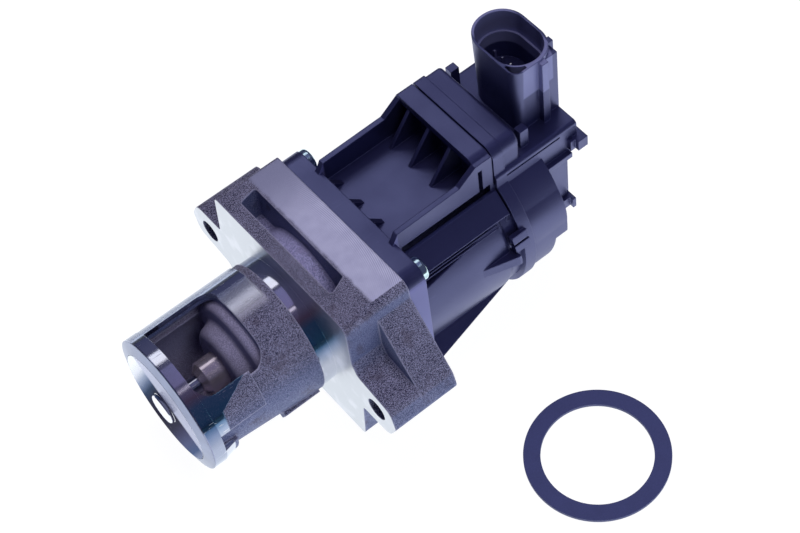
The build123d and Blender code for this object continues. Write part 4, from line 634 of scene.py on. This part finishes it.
# Pieces whose look differs from the other pieces in their slot.
OWN_FINISH = {
    "gear_cover": COVER_PLASTIC,
    "rear_lid": COVER_PLASTIC,
    "poppet_head": valve_head_material(),
    "guide_bush": metal_material("bush_metal", (0.78, 0.66, 0.7, 1), 0.22, metallic=0.85),
    "seat_ring": metal_material("ring_metal", (0.31, 0.33, 0.45, 1), 0.3),
}

slots = {entry["node"]: entry["material_slot"] for entry in frame["record"]["subparts"]}
for name, node in frame["nodes"].items():
    node.data.materials.clear()
    node.data.materials.append(OWN_FINISH.get(name, FINISH[slots[name]]))


def skin(name, grid, finish, loop=False, body="housing"):
    """Closed mesh through a grid of points, rows by columns by 3, with the last column joined to the first.
    loop joins the last row to the first; else each end row is closed by a fan to its middle point."""
    rows, columns = grid.shape[:2]
    points = grid.reshape(-1, 3)
    row = np.arange(rows if loop else rows - 1)[:, None]
    below = (row + 1) % rows
    column = np.arange(columns)[None, :]
    right = (column + 1) % columns
    corners = (row * columns + column, row * columns + right, below * columns + right, below * columns + column)
    faces = np.stack(corners, -1).reshape(-1, 4).tolist()
    if not loop:
        points = np.vstack([points, grid[0].mean(0), grid[-1].mean(0)])
        ring = np.arange(columns)
        turn = (ring + 1) % columns
        first, last = rows * columns, rows * columns + 1
        base = (rows - 1) * columns
        faces += np.stack([turn, ring, np.full(columns, first)], -1).tolist()
        faces += np.stack([base + ring, base + turn, np.full(columns, last)], -1).tolist()
    mesh = bpy.data.meshes.new(name)
    mesh.from_pydata(points.tolist(), [], faces)
    mesh.polygons.foreach_set("use_smooth", np.full(len(faces), True))
    volume = sum(
        points[face[0]] @ np.cross(points[face[i]], points[face[i + 1]])
        for face in faces
        for i in range(1, len(face) - 1)
    )
    if volume < 0:
        mesh.flip_normals()
    mesh.update()
    piece = bpy.data.objects.new(name, mesh)
    bpy.context.scene.collection.objects.link(piece)
    mesh.materials.append(finish)
    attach(piece, body)
    return piece


# Profile of the mouth's conical front, x and radius in millimetres, closed on itself.
MOUTH_CONE = (
    (-49.62, 24.55),
    (-49.68, 24.9),
    (-49.74, 24.86),
    (-49.8, 24.7),
    (-50.1, 23.6),
    (-50.4, 22.5),
    (-50.7, 21.4),
    (-50.92, 20.6),
    (-50.97, 20.45),
    (-50.96, 20.36),
    (-50.88, 20.34),
    (-50.4, 20.34),
    (-49.9, 20.34),
    (-49.62, 20.36),
)
MOUTH_CONE_STEPS = 160
# The motor barrel: its radius, and how far its axis lies below the valve's.
BARREL_RADIUS = 0.032
BARREL_DROP = 0.0015
# The mould lines along it: angles in degrees from +Z towards -Y, and sizes in metres.
RIDGE_TURNS = {"barrel_parting_upper": 56.6, "barrel_parting_lower": 58.6}
RIDGE_START = 0.029
RIDGE_END = 0.067
RIDGE_WIDTH = 0.0005
RIDGE_HEIGHT = 0.00018


def build_mouth_cone():
    """Conical front of the mouth: the profile's x and radius carried round the valve's axis, so each point is
    (x, -radius * sin(turn), radius * cos(turn))."""
    profile = np.array(MOUTH_CONE) / 1000.0
    turn = np.linspace(0.0, 2 * np.pi, MOUTH_CONE_STEPS, endpoint=False)
    x = np.repeat(profile[:, :1], len(turn), 1)
    radius = profile[:, 1:]
    grid = np.stack([x, -radius * np.sin(turn), radius * np.cos(turn)], -1)
    skin("mouth_cone", grid, CONE_METAL, loop=True)


def build_parting_ridge(name, turn):
    """Fine mould line along the motor barrel: a half ellipse across, radius = barrel + height * sin(across) at
    angle = turn + width / 2 / barrel * cos(across), with 1.5 times the height where it sinks in. It runs along
    X from start to end and fades out as the root of a sine that is cut off at 1."""
    x = np.linspace(RIDGE_START, RIDGE_END, 60)
    share = (x - RIDGE_START) / (RIDGE_END - RIDGE_START)
    fade = np.sqrt(np.clip(np.sin(np.pi * share) * 6.0, 0.0, 1.0))
    across = np.linspace(0.0, 2 * np.pi, 16, endpoint=False)
    angle = turn + 0.5 * RIDGE_WIDTH / BARREL_RADIUS * np.cos(across)
    lift = RIDGE_HEIGHT * np.sin(across)
    radius = BARREL_RADIUS + np.where(lift > 0, lift, 1.5 * lift)[None, :] * fade[:, None]
    spread = np.broadcast_to(angle, radius.shape)
    x_grid = np.repeat(x[:, None], len(across), 1)
    grid = np.stack([x_grid, -radius * np.sin(spread), radius * np.cos(spread) - BARREL_DROP], -1)
    skin(name, grid, FINISH["dark_plastic"])


build_mouth_cone()
for name, degrees in RIDGE_TURNS.items():
    build_parting_ridge(name, math.radians(degrees))


def build_floor(height):
    """Pale floor: a plane that shows nearly white and lights the part from below, out to a table's edge."""
    reach = 3.0
    table_edge = (0.34, 0.3)
    table_glow, far_glow, seen_glow = 1.15, 0.04, 0.96
    base_colour = (0.16, 0.16, 0.165, 1)
    corners = [(-reach, -reach, height), (reach, -reach, height), (reach, reach, height), (-reach, reach, height)]
    mesh = bpy.data.meshes.new("studio_floor")
    mesh.from_pydata(corners, [], [(0, 1, 2, 3)])
    floor = bpy.data.objects.new("studio_floor", mesh)
    bpy.context.scene.collection.objects.link(floor)
    material, tree, shader = new_material(
        "pale_floor", Base_Color=base_colour, Roughness=1.0, Specular_IOR_Level=0.0
    )
    x, y = split(tree, object_place(tree))[:2]
    table = blend_value(tree, rise(tree, distance(tree, x, y), *table_edge), far_glow, table_glow)
    seen = add_node(tree, "ShaderNodeLightPath").outputs["Is Camera Ray"]
    feed(tree, shader.inputs["Emission Strength"], blend_value(tree, seen, table, seen_glow))
    feed(tree, shader.inputs["Emission Color"], blend_colour(tree, seen, (0.93, 0.97, 1, 1), (1, 1, 1, 1)))
    mesh.materials.append(material)


def build_light(name, place, width, height, power, colour, aim=(0.0, 0.0, 0.0), mirrored=True):
    """Rectangular softbox at a place, turned to the point it aims at; mirrored False keeps it out of gloss."""
    data = bpy.data.lights.new(name, "AREA")
    data.shape = "RECTANGLE"
    data.size = width
    data.size_y = height
    data.energy = power
    data.color = colour
    lamp = bpy.data.objects.new(name, data)
    lamp.location = place
    lamp.rotation_euler = (Vector(aim) - Vector(place)).to_track_quat("-Z", "Y").to_euler()
    lamp.visible_glossy = mirrored
    bpy.context.scene.collection.objects.link(lamp)


# The photograph's size and the camera that fits it: angles in degrees, focal length and the flange centre's
# place in pixels, and the distance down the view axis in metres.
PHOTO_SIZE = (800.0, 533.0)
CAMERA_ANGLES = {"azimuth": -31.5, "elevation": 55.3, "roll": -9.0}
FOCAL_PIXELS = 1977.0
FLANGE_PIXEL = (291.0, 317.5)
CAMERA_DISTANCE = 0.6482
SENSOR_WIDTH = 36.0


def build_camera():
    """Camera at the photograph's angle, set so that the flange centre falls on its pixel."""
    azimuth, elevation, roll = (math.radians(angle) for angle in CAMERA_ANGLES.values())
    level = Vector((math.cos(azimuth), math.sin(azimuth), 0.0))
    ahead = Vector((-math.sin(azimuth), math.cos(azimuth), 0.0))
    forward = math.cos(elevation) * ahead - math.sin(elevation) * Vector((0.0, 0.0, 1.0))
    upright = level.cross(forward)
    right = math.cos(roll) * level + math.sin(roll) * upright
    up = math.cos(roll) * upright - math.sin(roll) * level
    across, down = (pixel - size / 2 for pixel, size in zip(FLANGE_PIXEL, PHOTO_SIZE))
    ray = forward + right * (across / FOCAL_PIXELS) - up * (down / FOCAL_PIXELS)
    camera = bpy.data.objects.new("camera", bpy.data.cameras.new("camera"))
    camera.data.sensor_width = SENSOR_WIDTH
    camera.data.lens = SENSOR_WIDTH * FOCAL_PIXELS / PHOTO_SIZE[0]
    camera.data.clip_start = 0.01
    turn = Matrix((right, up, -forward)).transposed().to_4x4()
    camera.matrix_world = Matrix.Translation(-ray * CAMERA_DISTANCE) @ turn
    bpy.context.scene.collection.objects.link(camera)
    bpy.context.scene.camera = camera


def build_world():
    """White seen directly, dimmer and bluer as light, so that gloss keeps its contrast."""
    world = bpy.data.worlds.new("studio")
    bpy.context.scene.world = world
    world.use_nodes = True
    tree = world.node_tree
    tree.nodes.clear()
    seen = add_node(tree, "ShaderNodeBackground", {"Color": (1, 1, 1, 1), "Strength": 1.0})
    light = add_node(tree, "ShaderNodeBackground", {"Color": (0.5, 0.52, 1.0, 1), "Strength": 0.12})
    camera_ray = add_node(tree, "ShaderNodeLightPath").outputs["Is Camera Ray"]
    mix = add_node(tree, "ShaderNodeMixShader", {0: camera_ray, 1: light.outputs[0], 2: seen.outputs[0]})
    out = add_node(tree, "ShaderNodeOutputWorld")
    feed(tree, out.inputs["Surface"], mix.outputs[0])


COLD_WHITE = (0.85, 0.88, 1.0)

build_floor(cad_box[0][2])
build_world()
build_light("back_box", (0.27, 0.49, 0.75), width=0.6, height=0.32, power=0.6, colour=(0.9, 0.92, 1.0))
build_light("front_strip", (0.28, -0.28, 0.84), width=0.5, height=0.05, power=0.05, colour=COLD_WHITE)
build_light("high_glow", (0.3, 0.0, 0.95), width=0.6, height=0.45, power=0.13, colour=(0.5, 0.5, 1.0))
build_light(
    "top_fill", (0.1, 0.1, 0.95), width=0.35, height=0.35, power=3.2, colour=(0.93, 0.9, 1.0), mirrored=False
)
build_light(
    "near_fill",
    (0.1, -0.85, 0.05),
    width=0.9,
    height=0.3,
    power=2.2,
    colour=(0.55, 0.7, 1.0),
    aim=(0.04, 0.0, 0.0),
    mirrored=False,
)
build_light(
    "front_fill", (0.1, -0.5, 0.75), width=0.3, height=0.3, power=1.6, colour=COLD_WHITE, mirrored=False
)
build_camera()
bpy.context.scene.view_settings.view_transform = "Standard"
